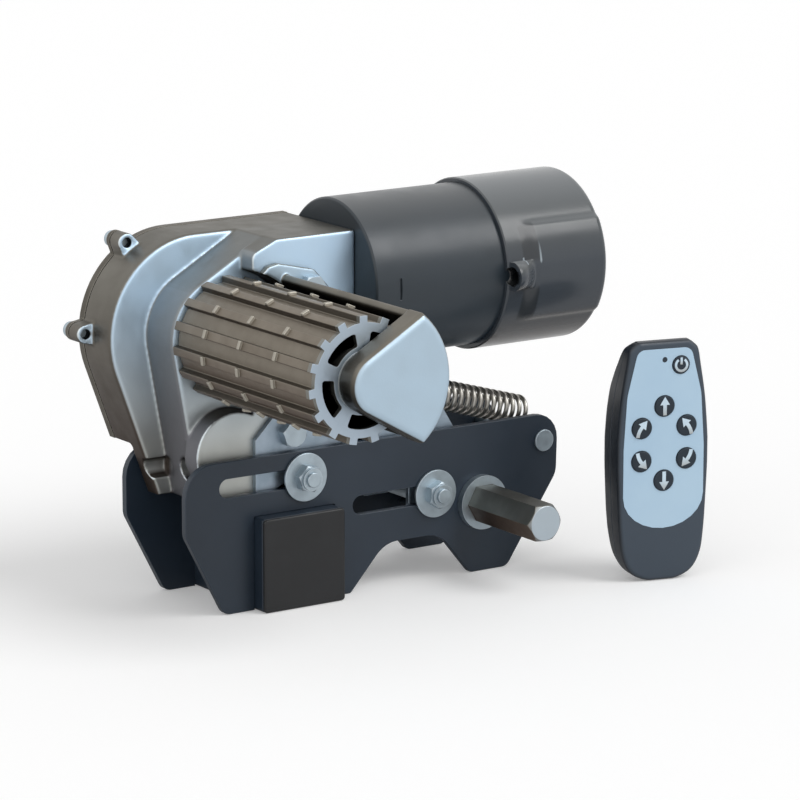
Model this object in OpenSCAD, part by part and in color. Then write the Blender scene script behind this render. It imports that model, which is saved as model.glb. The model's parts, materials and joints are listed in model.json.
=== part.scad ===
// Caravan motor mover with its handset.
// The gearbox, motor and drive roller ride on a carriage that slides between two side plates.
// +X runs along the motor, -Y points out along the drive roller, +Z is up.
// The origin is on the underside of the cross tube, below its axis, at the near side plate's face.

/* [Side plates] */
// Thickness of each side plate
plate_t = 4; // [3:0.5:5]
// Clear space between the two side plates
plate_gap = 55.7; // [54:0.1:64]
// Height of the side plates
plate_h = 81.5; // [81:0.1:81.9]
// Reach of the side plates to the left of the cross tube's axis
plate_left = 66.8; // [64:0.1:72]
// Height of the arch between the feet
arch_h = 24.3; // [16:0.1:26]
// Left end of the arch at the floor
arch_left = 35; // [32:1:42]
// Right end of the arch at the floor
arch_right = 112; // [106:1:114]
// Height at which the left edge starts to slope in to the foot
heel_h = 44.5; // [36:0.5:50]
// Height at which the right edge starts to slope in to the foot
toe_h = 48; // [40:0.5:54]

/* [Cross tube] */
// Outer width of the square cross tube
tube_w = 50; // [46:1:50]
// Wall of the cross tube
tube_wall = 4; // [3:0.5:6]
// Reach of the tube in front of the near side plate, with its cap
tube_front = 10; // [6:0.5:20]
// Reach of the tube behind the far side plate
tube_back = 10.3; // [4:0.1:30]
// Thickness of the tube cap's face
tube_cap_t = 2.5; // [2:0.5:4]
// Depth of the tube cap's plug
tube_plug = 15; // [8:1:25]

/* [Sliding carriage] */
// Travel of the carriage from rest to fully engaged
travel = 47.1; // [40:0.1:47.1]
// Thickness of the carriage plates
carriage_t = 3; // [2.5:0.1:4]
// Side clearance between the carriage plates and the side plates
side_gap = 0.6; // [0.4:0.1:1]
// Place of the upper guide bolt along the mover
guide_a_x = 6.1; // [4:0.1:8]
// Height of the upper guide bolt
guide_a_z = 67.3; // [66:0.1:69]
// Place of the lower guide bolt along the mover
guide_b_x = 88.6; // [86:0.1:90]
// Height of the lower guide bolt
guide_b_z = 47.2; // [45:0.1:47.5]
// Radius of the guide bolts
bolt_r = 4; // [3.5:0.1:4.2]
// Radius of the nylon guide bushes
bush_r = 4.92; // [4.8:0.01:5.3]
// Radius of the guide washers
washer_r = 13; // [10:0.5:14]
// Thickness of the guide washers
washer_t = 1.6; // [1:0.1:2]
// Width across the flats of the nuts and bolt heads
nut_af = 13; // [12:0.1:14]
// Height of the lock nuts
nut_h = 6.5; // [6:0.1:8]
// Height of the bolt heads
head_h = 5.3; // [4:0.1:6]
// Height of the near carriage plate's top edge
carriage_top = 103.3; // [100:0.1:104]
// Left edge of the near carriage plate
carriage_left = 21.1; // [18:0.1:24]
// Right edge of the near carriage plate
carriage_right = 104.4; // [103:0.1:105]

/* [Engaging shaft] */
// Place of the hexagon shaft along the mover
shaft_x = 118.6; // [118.4:0.1:121]
// Height of the hexagon shaft
shaft_z = 38.7; // [36:0.1:40]
// Width of the hexagon bar across its flats
hex_af = 19; // [16:0.5:19.5]
// Reach of the hexagon bar in front of the near side plate
hex_front = 60; // [30:1:80]
// Reach of the hexagon bar behind the far side plate
hex_back = 9; // [8:0.5:20]
// Radius of the shaft bushes in the side plates
shaft_bush_r = 12.7; // [12.3:0.1:13.5]
// Radius of the shaft bushes' flanges
shaft_flange_r = 14.75; // [14:0.25:17]
// Thickness of the shaft bushes' flanges
shaft_flange_t = 4; // [2:0.5:5]
// Teeth on the drive pinion
pinion_n = 16; // [16:1:16]
// Width of the rack and its pinion
rack_w = 9; // [7:0.5:10]
// Gear module of the rack, its pinion and the gearbox wheels
gear_m = 2; // [2:0.5:2]

/* [Return spring] */
// Diameter of the spring wire
wire_d = 2.5; // [2:0.1:2.8]
// Outer diameter of the spring
spring_od = 17; // [15:0.5:18]
// Turns in the body of the spring
spring_turns = 20; // [16:1:21]
// Radius of the two spring posts
post_r = 3.5; // [3:0.1:3.8]
// Place of the carriage's spring stud along the mover
stud_x = 57.1; // [56:0.1:60]
// Height of the fixed spring post
post_z = 67; // [66.7:0.1:68]
// Distance between the two spring posts at rest
spring_span = 107.2; // [104:0.1:109]
// Slope of the spring
spring_slope = 16.2; // [15:0.1:17]
// Distance of the spring's middle behind the near side plate's face
spring_y = 17.6; // [17.4:0.1:20]

/* [Gearbox casting] */
// Place of the roller's axis along the mover
roller_x = -29.6; // [-31:0.1:-29]
// Height of the roller's axis
roller_z = 142.9; // [142:0.1:143]
// Wall of the gearbox casting
cast_wall = 4.5; // [3.5:0.1:4.5]
// Radius of the big round end of the gearbox
case_r = 52; // [50:0.5:54]
// Top of the gearbox
case_top = 193.4; // [191:0.1:195]
// Right wall of the gearbox
case_right = 43; // [42.4:0.1:44]
// Underside of the gearbox behind the side plates
case_low = 83.6; // [83:0.1:85]
// Gap between the cross tube and the gearbox foot above it
foot_gap = 6.5; // [6:0.1:8]
// Step from the motor block's face to the roller's face
step_c = 11.4; // [10:0.1:12]
// Step from the motor block's face to the rim
step_b = 37.2; // [36:0.1:41]
// Step from the motor block's face to the joint of the cover
step_a = 64.9; // [62:0.1:68]
// Thickness of the rear cover
cover_t = 5.8; // [3.5:0.1:6]
// Radius of the cover lugs
lug_r = 5.1; // [4.8:0.1:6]
// Length of the cover lugs with the cover
lug_len = 13; // [10:0.5:18]
// Radius of the M5 cap screws
screw_r = 2.4; // [2:0.1:2.5]

/* [Drive roller] */
// Radius of the roller between its ribs
roller_root_r = 29.2; // [28:0.1:29.4]
// Radius over the roller's ribs
roller_tip_r = 32.6; // [31.5:0.1:33]
// Number of ribs
rib_n = 15; // [10:1:18]
// Width of a rib
rib_w = 4.7; // [3:0.1:6]
// Wall of the roller tube
roller_wall = 3.3; // [2.5:0.1:4]
// Front face of the roller, in front of the near side plate
roller_front = 109.6; // [100:0.1:112]
// Thickness of the toothed end disc
disc_t = 3; // [2:0.5:5]
// Number of windows in the end disc
window_n = 5; // [4:1:6]
// Height of the small cross bars on the ribs
nub_h = 1.5; // [0.8:0.1:1.6]
// Radius of the roller's shaft
out_shaft_r = 10; // [9.5:0.1:10]

/* [Roller bracket] */
// Outer radius of the bracket's arm round the roller
arm_r = 42.6; // [42:0.1:44]
// Wall of the bracket's arm
arm_wall = 5; // [4:0.1:5.2]
// Half angle that the arm spans
arm_half = 51.6; // [46:0.1:54]
// Thickness of the bracket's end plate
end_plate_t = 13.9; // [11.5:0.1:16]
// Radius of the end plate's round nose
nose_r = 15.8; // [14.5:0.1:18]
// Thickness of the bracket's foot flange
flange_t = 4.5; // [4:0.1:6]

/* [Motor] */
// Distance of the motor's axis behind the near side plate's face
motor_y = 30.7; // [30.4:0.1:31]
// Height of the motor's axis
motor_z = 163.3; // [163:0.1:163.6]
// Radius of the motor can
can_r = 43.9; // [43:0.1:44.5]
// Wall of the motor can
can_wall = 3; // [2:0.1:3.5]
// Length of the can from the gearbox to the end cover
can_len = 82; // [81:0.5:90]
// Radius of the motor's end cover
end_r = 46.5; // [46.2:0.1:49]
// Length of the motor's end cover
end_len = 65.6; // [60:0.1:70]
// Wall of the motor's end cover
end_wall = 2; // [1.5:0.1:2.2]
// Radius of the cable inlet's bore
inlet_r = 3.8; // [2.5:0.1:4]

/* [Gear train] */
// Teeth on the worm wheel
wheel_n = 22; // [22:1:22]
// Teeth on the small gear of the layshaft
small_n = 12; // [12:1:12]
// Teeth on the output gear
out_n = 32; // [32:1:32]
// Pitch radius of the worm
worm_r = 8; // [8:1:8]
// Face width of the output gear
gear_w = 10; // [8:0.5:12]
// Half of the play left on each tooth flank
tooth_play = 0.3; // [0.25:0.05:0.4]

/* [Handset] */
// Width of the handset
hand_w = 52.4; // [48:0.1:56]
// Height of the handset
hand_h = 130.5; // [128:0.5:136]
// Thickness of the handset
hand_t = 23; // [21:0.5:28]
// Wall of the handset's shells
hand_wall = 2; // [1.6:0.1:2.4]
// Radius of the six arrow buttons
arrow_r = 5.6; // [4.5:0.1:6]
// Radius of the power button
power_r = 4.8; // [4:0.1:5.2]
// Travel of the buttons
button_travel = 0.8; // [0.5:0.1:1.2]
// Place of the handset along the mover
hand_x = 187.8; // [180:0.1:210]
// Distance of the handset in front of the near side plate's face
hand_y = 70.8; // [60:0.1:90]
// Turn of the handset
hand_turn = 14.5; // [0:0.5:30]

/* [Hidden] */
$fn = 48;

// Fits: running clearance of a bore, play round a bolt, and overreach of a cut
run_fit = 0.06;
bolt_fit = 0.2;
over = 1;

// Levels along the depth of the mover
far_y = plate_t + plate_gap;
back_y = far_y + plate_t;
face_c = plate_t + side_gap + carriage_t;
face_b = face_c + step_c;
face_a = face_c + step_b;
joint_y = face_c + step_a;
rear_y = joint_y + cover_t;
far_carriage_y = far_y - side_gap - carriage_t;
near_carriage_y = face_c - carriage_t;
// The gearbox foot clears the tube, and the side plates reach past the fixed spring post
foot_low = tube_w + foot_gap;
post_x = stud_x + spring_span * cos(spring_slope);
post_edge = 10;
plate_right = post_x + post_edge;

// Round the corners of an outline: each point is x, y and the corner's radius
arc_steps = 6;
function unit(v) = v / norm(v);
function corner(a, b, c, r) =
    let (u = unit([a.x - b.x, a.y - b.y]), w = unit([c.x - b.x, c.y - b.y]),
         half = acos(max(-1, min(1, u * w))) / 2,
         reach = r / tan(half), mid = unit(u + w),
         centre = [b.x, b.y] + mid * (r / sin(half)),
         p = [b.x, b.y] + u * reach - centre, q = [b.x, b.y] + w * reach - centre,
         from = atan2(p.y, p.x), turn = atan2(q.y, q.x) - from,
         sweep = turn > 180 ? turn - 360 : turn < -180 ? turn + 360 : turn)
    [for (i = [0 : arc_steps]) centre + r * [cos(from + sweep * i / arc_steps),
                                            sin(from + sweep * i / arc_steps)]];
function rounded(pts) =
    [for (i = [0 : len(pts) - 1])
        let (n = len(pts), a = pts[(i + n - 1) % n], b = pts[i], c = pts[(i + 1) % n])
        each b.z > 0 ? corner(a, b, c, b.z) : [[b.x, b.y]]];
function arc(c, r, from, to, steps) =
    [for (i = [0 : steps]) c + r * [cos(from + (to - from) * i / steps),
                                    sin(from + (to - from) * i / steps)]];

// Extrude a front-view outline (x, z) between two depths, and a side-view one (y, z) along x
module along_y(y0, y1) {
    translate([0, y1, 0]) rotate([90, 0, 0]) linear_extrude(y1 - y0) children();
}
module along_x(x0, x1) {
    translate([x0, 0, 0]) rotate([90, 0, 90]) linear_extrude(x1 - x0) children();
}
module rod_y(x, z, r, y0, y1) {
    translate([x, y1, z]) rotate([90, 0, 0]) cylinder(r = r, h = y1 - y0);
}
module rod_x(y, z, r, x0, x1) {
    translate([x0, y, z]) rotate([0, 90, 0]) cylinder(r = r, h = x1 - x0);
}
module ring_y(x, z, r_out, r_in, y0, y1) {
    difference() {
        rod_y(x, z, r_out, y0, y1);
        rod_y(x, z, r_in, y0 - over, y1 + over);
    }
}
module ring_x(y, z, r_out, r_in, x0, x1) {
    difference() {
        rod_x(y, z, r_out, x0, x1);
        rod_x(y, z, r_in, x0 - over, x1 + over);
    }
}
// A hexagon standing on a point or on a flat, by its width across the flats
module hex_2d(af) { circle(r = af / 2 / cos(30), $fn = 6); }
// A bolt head or nut with its corners turned off on the outer face, which looks to -Y at y0
module hex_head(x, z, y0, y1, turn) {
    taper = 0.9;
    corner_r = nut_af / 2 / cos(30);
    intersection() {
        translate([x, 0, z]) rotate([0, turn, 0]) along_y(y0, y1) hex_2d(nut_af);
        translate([x, y1 + over, z]) rotate([90, 0, 0]) union() {
            cylinder(r = nut_af, h = y1 - y0 + over - taper);
            translate([0, 0, y1 - y0 + over - taper])
                cylinder(r1 = corner_r + 0.2, r2 = corner_r - taper, h = taper);
        }
    }
}

// Side plate outline, from the left edge round over the top to the feet
foot_slope_l = 0.52;
foot_slope_r = 0.68;
plate_top_r = 17;
toe_r = 14;
outline_r = 6;
arch_slope_l = 22;
arch_slope_r = 20;
plate_outline = rounded([[-plate_left, heel_h, 10], [-plate_left, plate_h, plate_top_r],
    [plate_right, plate_h, toe_r], [plate_right - 1, toe_h, 12],
    [plate_right - 1 - toe_h * foot_slope_r, 0, outline_r], [arch_right, 0, 4],
    [arch_right - arch_slope_r, arch_h, 18], [arch_left + arch_slope_l, arch_h, 18],
    [arch_left, 0, 2], [-plate_left + heel_h * foot_slope_l, 0, outline_r]]);

// Guide slots: the bush stops on the slot's ends with a little play
slot_r = bush_r + 0.08;
slot_play = 0.1;
module slot_cut(x, z, y0, y1) {
    rod_y(x + slot_play, z, slot_r, y0, y1);
    rod_y(x - travel - slot_play, z, slot_r, y0, y1);
    translate([x - travel - slot_play, y0, z - slot_r])
        cube([travel + 2 * slot_play, y1 - y0, 2 * slot_r]);
}
weld_fit = 0.05;
module side_plate(y0) {
    difference() {
        along_y(y0, y0 + plate_t) polygon(plate_outline);
        translate([-tube_w / 2 - weld_fit, y0 - over, -over])
            cube([tube_w + 2 * weld_fit, plate_t + 2 * over, tube_w + weld_fit + over]);
        slot_cut(guide_a_x, guide_a_z, y0 - over, y0 + plate_t + over);
        slot_cut(guide_b_x, guide_b_z, y0 - over, y0 + plate_t + over);
        rod_y(shaft_x, shaft_z, shaft_bush_r + run_fit, y0 - over, y0 + plate_t + over);
        rod_y(post_x, post_z, post_r + run_fit, y0 - over, y0 + plate_t + over);
    }
}
module near_side_plate() { color("#303a48") side_plate(0); }
module far_side_plate() { color("#303a48") side_plate(far_y); }

// Cross tube, open at the back for the cross bar, closed by a cap at the front
tube_y0 = -tube_front + tube_cap_t;
tube_y1 = back_y + tube_back;
tube_corner = 4;
module square_z(w, r) {
    polygon(rounded([[-w / 2, 0, r], [-w / 2, w, r], [w / 2, w, r], [w / 2, 0, r]]));
}
module cross_tube() {
    color("#26303c") difference() {
        along_y(tube_y0, tube_y1) square_z(tube_w, tube_corner / 2);
        translate([0, 0, tube_wall]) along_y(tube_y0 - over, tube_y1 + over)
            square_z(tube_w - 2 * tube_wall, tube_corner / 2);
    }
}
plug_fit = 0.15;
plug_wall = 2.5;
module tube_end_cap() {
    plug_w = tube_w - 2 * tube_wall - 2 * plug_fit;
    color("#17181a") {
        along_y(-tube_front, tube_y0) square_z(tube_w, tube_corner / 2);
        translate([0, 0, tube_wall + plug_fit]) difference() {
            along_y(tube_y0, tube_y0 + tube_plug) square_z(plug_w, tube_corner / 2);
            translate([0, 0, plug_wall]) along_y(tube_y0, tube_y0 + tube_plug + over)
                square_z(plug_w - 2 * plug_wall, tube_corner / 2);
        }
    }
}

// The fixed spring post spans both side plates and is riveted over on the near one
post_head_r = 6;
post_head_t = 1.6;
module spring_post() {
    color("#9aa3ab") {
        rod_y(post_x, post_z, post_r, -over / 2, back_y + over / 2);
        rod_y(post_x, post_z, post_head_r, -post_head_t, 0);
        rod_y(post_x, post_z, post_head_r, back_y, back_y + post_head_t);
    }
}

// Outlines of the gearbox: the rim round the big gear, the roller's face and the motor block
case_x = roller_x - 2.2;
case_z = case_top - case_r;
rim_lean = 200.3;
face_r = 32.5;
face_lean_up = 119.4;
face_lean_down = 190.1;
roller_axis = [roller_x, roller_z];
case_axis = [case_x, case_z];
// Where the tangent that leaves a circle at an angle meets a height
function tangent_x(c, r, a, z) = c.x + r * cos(a) + (c.y + r * sin(a) - z) * tan(a);
// Each outline is drawn by its inset and the height of its lower edge
function rim_points(inset, low) = let (r = case_r - inset)
    concat([[case_right - inset, low], [case_right - inset, case_top - inset]],
        arc(case_axis, r, 90, rim_lean, 24), [[tangent_x(case_axis, r, rim_lean, low), low]]);
function face_points(inset, low) = let (r = face_r - inset, top = case_top - inset)
    concat([[case_right - inset, low], [case_right - inset, top],
        [tangent_x(roller_axis, r, face_lean_up, top), top]],
        arc(roller_axis, r, face_lean_up, face_lean_down, 14),
        [[tangent_x(roller_axis, r, face_lean_down, low), low]]);
rim_foot_x = tangent_x(case_axis, case_r, rim_lean, case_low);
edge_r = 1.8;
block_gap = 3.7;
block_clear_r = roller_tip_r + block_gap;
block_left = -20;
boss_r = 23;
boss_x = roller_x - 2.2;
boss_z = 82.3;
module rim_2d(inset = 0) { polygon(rim_points(inset, case_low + inset)); }
module rim_foot_2d(inset = 0) { polygon(rim_points(inset, foot_low + inset)); }
module face_2d(inset = 0) { polygon(face_points(inset, foot_low + inset)); }
// A front edge of radius r rounded in two steps behind the face at y0, where child 0 is the
// outline and children 1 and 2 are the same outline drawn in by 0.3 and by 1 of the radius
module round_edge(y0, r) {
    skin = 0.01;
    hull() {
        along_y(y0 + r - skin, y0 + r) children(0);
        along_y(y0 + 0.3 * r, y0 + 0.3 * r + skin) children(1);
    }
    hull() {
        along_y(y0 + 0.3 * r, y0 + 0.3 * r + skin) children(1);
        along_y(y0, y0 + skin) children(2);
    }
}
module block_2d() {
    difference() {
        polygon(rounded([[case_right, foot_low, 0], [case_right, case_top, 0],
            [block_left + 15, case_top, 0], [block_left, case_top - 6.5, 5],
            [block_left, foot_low, 0]]));
        translate(roller_axis) circle(r = block_clear_r, $fn = 96);
    }
    translate([boss_x, boss_z]) circle(r = boss_r, $fn = 72);
    // Below the boss's centre the block runs on flush with the roller's face
    intersection() {
        face_2d();
        translate([-plate_right, foot_low]) square([plate_right, boss_z - foot_low]);
    }
}

// Places of the shafts inside the gearbox
wheel_r = gear_m * wheel_n / 2;
small_r = gear_m * small_n / 2;
out_r = gear_m * out_n / 2;
lay_z = motor_z - worm_r - wheel_r;
lay_d = out_r + small_r;
lay_x = roller_x + sqrt(lay_d * lay_d - pow(roller_z - lay_z, 2));
mesh_turn = atan2(lay_z - roller_z, lay_x - roller_x);
out_bearing_r = 16;
out_bearing_w = 7;
lay_r = 6;
lay_bearing_r = 12;
lay_bearing_w = 6;
lay_bearing_y = face_b + 1.6;
worm_shaft_r = 4;
worm_bearing_r = 11;
worm_bearing_w = 7;
seat_wall = 3.2;
worm_half = 12;
worm_bear_gap = 3;
shaft_end_gap = 0.6;
worm_seat_r = worm_bearing_r + seat_wall - 1;
worm_left = lay_x - worm_half - worm_bear_gap - worm_bearing_w;
right_seat_x = case_right - 12;

// The bolts that hold the near carriage plate and the bracket on the motor block
plate_bolt_x = [0.4, 32];
plate_bolt_z = 90.9;
bracket_bolt_r = arm_r + 5.2;
bracket_bolt_x = roller_x + bracket_bolt_r * cos(30);
bracket_bolt_rise = bracket_bolt_r * sin(30);
bolt_grip = 9;
cavity_low = 101;

// Screws of the cover: the two lugs that show and three in the casting's corners
lug_a = [-62.3, 189];
lug_b = [-87.8, 143.4];
corner_in = 7;
corner_screws = [[case_right - corner_in, case_top - corner_in],
    [case_right - corner_in, case_low + corner_in], [rim_foot_x + corner_in + 2, case_low + corner_in]];
cover_screws = concat([lug_a, lug_b], corner_screws);
corner_boss_r = 6.5;
lug_cap = 3;
motor_screw_d = 20;
motor_screws = [for (a = [45 : 90 : 315])
    [motor_y + motor_screw_d * cos(a), motor_z + motor_screw_d * sin(a)]];

module lug_2d() {
    for (p = [lug_a, lug_b]) {
        toward = unit(case_axis - p);
        translate(p) circle(r = lug_r);
        polygon([p + lug_r * [-toward.y, toward.x], p - lug_r * [-toward.y, toward.x],
            p + 14 * toward - 1.6 * lug_r * [-toward.y, toward.x],
            p + 14 * toward + 1.6 * lug_r * [-toward.y, toward.x]]);
    }
}
// Room inside the gearbox, one wall thickness in from each outline
module inner_rim_2d() { polygon(rim_points(cast_wall, cavity_low)); }
module inner_face_2d() { polygon(face_points(cast_wall, cavity_low)); }
module inner_block_2d() {
    w = cast_wall;
    difference() {
        polygon([[case_right - w, cavity_low], [case_right - w, case_top - w],
            [block_left + 15 + w, case_top - w], [block_left + w, case_top - 6.5 - w],
            [block_left + w, cavity_low]]);
        translate(roller_axis) circle(r = block_clear_r + w, $fn = 96);
    }
}
groove_r = 5.3;
groove_z = case_low - 11.7;
recess_r = 6.5;
recess_z = case_low - 10;
recess_x = tangent_x(roller_axis, face_r, face_lean_down, recess_z);
recess_deep = 6;
mesh_room = 0.6;
module gearbox_housing() {
    color("#a5c0d6") difference() {
        union() {
            difference() {
                union() {
                    along_y(far_carriage_y - over, joint_y) rim_2d();
                    along_y(face_a + edge_r, far_carriage_y) rim_foot_2d();
                    round_edge(face_a, edge_r) {
                        rim_foot_2d();
                        rim_foot_2d(0.3 * edge_r);
                        rim_foot_2d(edge_r);
                    }
                    along_y(face_b + edge_r, face_a + edge_r) face_2d();
                    round_edge(face_b, edge_r) {
                        face_2d();
                        face_2d(0.3 * edge_r);
                        face_2d(edge_r);
                    }
                    along_y(face_c, face_b + edge_r) block_2d();
                    along_y(joint_y + lug_cap - lug_len, joint_y) lug_2d();
                }
                along_y(face_a + cast_wall, joint_y + over) inner_rim_2d();
                along_y(face_b + cast_wall, face_a + cast_wall + over) inner_face_2d();
                along_y(face_c + cast_wall, face_b + cast_wall + over) inner_block_2d();
            }
            // Bearing seats for the roller's shaft, the layshaft and the worm
            rod_y(roller_x, roller_z, out_bearing_r + seat_wall, face_b, face_b + out_bearing_w + 3);
            difference() {
                union() {
                    rod_y(lay_x, lay_z, lay_bearing_r + seat_wall, face_c,
                        lay_bearing_y + lay_bearing_w);
                    // Web that carries the worm's left bearing from the motor block's face
                    translate([worm_left - seat_wall, face_c, motor_z - worm_bearing_r + 3])
                        cube([seat_wall + worm_bearing_w, motor_y - face_c - worm_bearing_r,
                            2 * worm_bearing_r - 6]);
                    rod_x(motor_y, motor_z, worm_seat_r, worm_left - seat_wall,
                        worm_left + worm_bearing_w);
                }
                rod_y(roller_x, roller_z, block_clear_r, face_c - over, face_b);
            }
            rod_x(motor_y, motor_z, worm_seat_r, right_seat_x, case_right);
            for (p = corner_screws)
                rod_y(p.x, p.y, corner_boss_r, far_carriage_y, joint_y);
            for (s = [-1, 1])
                rod_y(bracket_bolt_x, roller_z + s * bracket_bolt_rise, bolt_r + 3.5,
                    face_c, face_c + bolt_grip);
        }
        // Bores and seats
        rod_y(roller_x, roller_z, out_shaft_r + 1.5, face_b - over, joint_y);
        rod_y(roller_x, roller_z, out_bearing_r, face_b + 3, face_b + 3 + out_bearing_w + over);
        rod_y(lay_x, lay_z, lay_bearing_r, lay_bearing_y, lay_bearing_y + lay_bearing_w + over);
        rod_x(motor_y, motor_z, worm_shaft_r + 2, worm_left - seat_wall - over, case_right + over);
        rod_x(motor_y, motor_z, worm_bearing_r, worm_left, worm_left + worm_bearing_w + over);
        rod_x(motor_y, motor_z, worm_bearing_r, right_seat_x - over, right_seat_x + worm_bearing_w);
        for (p = cover_screws) rod_y(p.x, p.y, screw_r, face_a + cast_wall, joint_y + over);
        for (p = motor_screws)
            rod_x(p.x, p.y, screw_r + bolt_fit, case_right - cast_wall - over, case_right + over);
        for (x = plate_bolt_x) rod_y(x, plate_bolt_z, bolt_r, face_c - over, face_c + bolt_grip);
        for (s = [-1, 1])
            rod_y(bracket_bolt_x, roller_z + s * bracket_bolt_rise, bolt_r,
                face_c - over, face_c + bolt_grip);
        rod_y(guide_a_x, guide_a_z, bolt_r + bolt_fit, face_c - over, joint_y + over);
        for (p = csk_housing) rod_y(p.x, p.y, csk_r, far_carriage_y - csk_grip, joint_y);
        // Room for the worm and for its wheel as they turn
        rod_x(motor_y, motor_z, worm_r + worm_head + mesh_room, worm_left + worm_bearing_w,
            right_seat_x);
        rod_y(lay_x, lay_z, wheel_r + gear_m + mesh_room, motor_y - wheel_half - mesh_room,
            motor_y + wheel_half + mesh_room);
        // Groove and recess on the left side of the foot
        rod_x(face_a, groove_z, groove_r, rim_foot_x - over, rim_foot_x + 17);
        rod_x(face_b + recess_r, recess_z, recess_r, recess_x - recess_deep, recess_x + recess_deep);
    }
}

// Rear cover with the seats of the rear bearings
seat_depth = 8;
module gearbox_cover() {
    color("#6b6862") difference() {
        union() {
            along_y(joint_y, rear_y - 1) rim_2d();
            hull() {
                along_y(rear_y - 1.01, rear_y - 1) rim_2d();
                along_y(rear_y - 0.01, rear_y) rim_2d(1);
            }
            along_y(joint_y, joint_y + lug_cap) lug_2d();
            rod_y(roller_x, roller_z, out_bearing_r + seat_wall, joint_y - seat_depth, rear_y);
            rod_y(lay_x, lay_z, lay_bearing_r + seat_wall, joint_y - seat_depth, rear_y);
        }
        rod_y(roller_x, roller_z, out_bearing_r, joint_y - seat_depth - over, joint_y);
        rod_y(lay_x, lay_z, lay_bearing_r, joint_y - seat_depth - over, joint_y);
        for (p = cover_screws) rod_y(p.x, p.y, screw_r + bolt_fit, joint_y - over, rear_y + over);
        for (p = [lug_a, lug_b])
            rod_y(p.x, p.y, screw_head_r + bolt_fit, joint_y + lug_cap, rear_y + over);
    }
}

// M5 cap screws: in from behind through the cover, and from inside into the motor
screw_head_r = 4.2;
screw_head_h = 4;
screw_hold = 6;
module cap_screws() {
    color("#8d9298") {
        for (i = [0 : len(cover_screws) - 1]) {
            p = cover_screws[i];
            seat_y = i < 2 ? joint_y + lug_cap : rear_y;
            rod_y(p.x, p.y, screw_r - 0.02, joint_y - screw_hold, seat_y);
            difference() {
                rod_y(p.x, p.y, screw_head_r, seat_y, seat_y + screw_head_h);
                translate([p.x, 0, p.y]) along_y(seat_y + 1.5, seat_y + screw_head_h + over) hex_2d(4);
            }
        }
        for (p = motor_screws) {
            rod_x(p.x, p.y, screw_r - 0.02, case_right - cast_wall, case_right + can_end_t);
            rod_x(p.x, p.y, screw_head_r, case_right - cast_wall - screw_head_h,
                case_right - cast_wall);
        }
    }
}

// Near carriage plate, bolted on the motor block and the round boss
lobe_r = 12;
lobe_left = tube_w / 2 + travel + 3;
edge_lean = 14;
shoulder_z = carriage_top - edge_lean;
step_z = carriage_top - 23;
module near_carriage_plate() {
    color("#a9bccb") difference() {
        along_y(near_carriage_y, face_c) polygon(rounded([[-carriage_left, foot_low, 1],
            [-carriage_left, shoulder_z, 0], [-carriage_left + edge_lean, carriage_top, 0],
            [carriage_right - edge_lean, carriage_top, 1], [carriage_right, step_z, 3],
            [carriage_right, guide_b_z - lobe_r, 8], [lobe_left, guide_b_z - lobe_r, 8],
            [lobe_left, foot_low, 1]]));
        for (x = plate_bolt_x)
            rod_y(x, plate_bolt_z, bolt_r + bolt_fit, near_carriage_y - over, face_c + over);
        rod_y(guide_a_x, guide_a_z, bolt_r + bolt_fit, near_carriage_y - over, face_c + over);
        rod_y(guide_b_x, guide_b_z, bolt_r + bolt_fit, near_carriage_y - over, face_c + over);
        rod_y(stud_x, stud_z, post_r, near_carriage_y - over, face_c + over);
    }
}

// Far carriage plate, held by countersunk screws that lie flush
csk_r = 3;
csk_head_r = 5.6;
csk_head_t = 2.6;
csk_grip = 12;
csk_low = foot_low + csk_head_r + 1;
csk_housing = [[-12, csk_low], [30, csk_low], [30, csk_low + 13]];
rack_left = 58;
rack_line = shaft_z + gear_m * pinion_n / 2;
rack_z0 = rack_line + 1.25 * gear_m;
rack_back = 4.8;
rack_z1 = rack_z0 + rack_back;
rack_pad_len = 42;
rack_pad_z1 = rack_z1 + 8;
csk_rack = [[rack_left + 7, rack_pad_z1 - 6], [rack_left + rack_pad_len - 7, rack_pad_z1 - 6]];
module far_carriage_plate() {
    y1 = far_carriage_y + carriage_t;
    color("#a9bccb") difference() {
        along_y(far_carriage_y, y1) polygon(rounded([[-carriage_left, foot_low, 1],
            [-carriage_left, plate_h + 1, 3], [carriage_right, plate_h + 1, 8],
            [carriage_right, guide_b_z - lobe_r, 8], [lobe_left, guide_b_z - lobe_r, 8],
            [lobe_left, foot_low, 1]]));
        rod_y(guide_a_x, guide_a_z, bolt_r + bolt_fit, far_carriage_y - over, y1 + over);
        rod_y(guide_b_x, guide_b_z, bolt_r + bolt_fit, far_carriage_y - over, y1 + over);
        for (p = concat(csk_housing, csk_rack)) {
            rod_y(p.x, p.y, csk_r + bolt_fit, far_carriage_y - over, y1 + over);
            translate([p.x, y1 + 0.01, p.y]) rotate([90, 0, 0])
                cylinder(r1 = csk_head_r + bolt_fit, r2 = csk_r + bolt_fit, h = csk_head_t);
        }
    }
}
module csk_screw(p, grip) {
    y1 = far_carriage_y + carriage_t;
    rod_y(p.x, p.y, csk_r - 0.02, far_carriage_y - grip, y1 - csk_head_t);
    difference() {
        translate([p.x, y1, p.y]) rotate([90, 0, 0])
            cylinder(r1 = csk_head_r, r2 = csk_r - 0.02, h = csk_head_t);
        translate([p.x, 0, p.y]) along_y(y1 - 1.5, y1 + over) hex_2d(3);
    }
}
module countersunk_screws() {
    color("#9aa3ab") {
        for (p = csk_housing) csk_screw(p, csk_grip);
        for (p = csk_rack) csk_screw(p, rack_w);
    }
}

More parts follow.
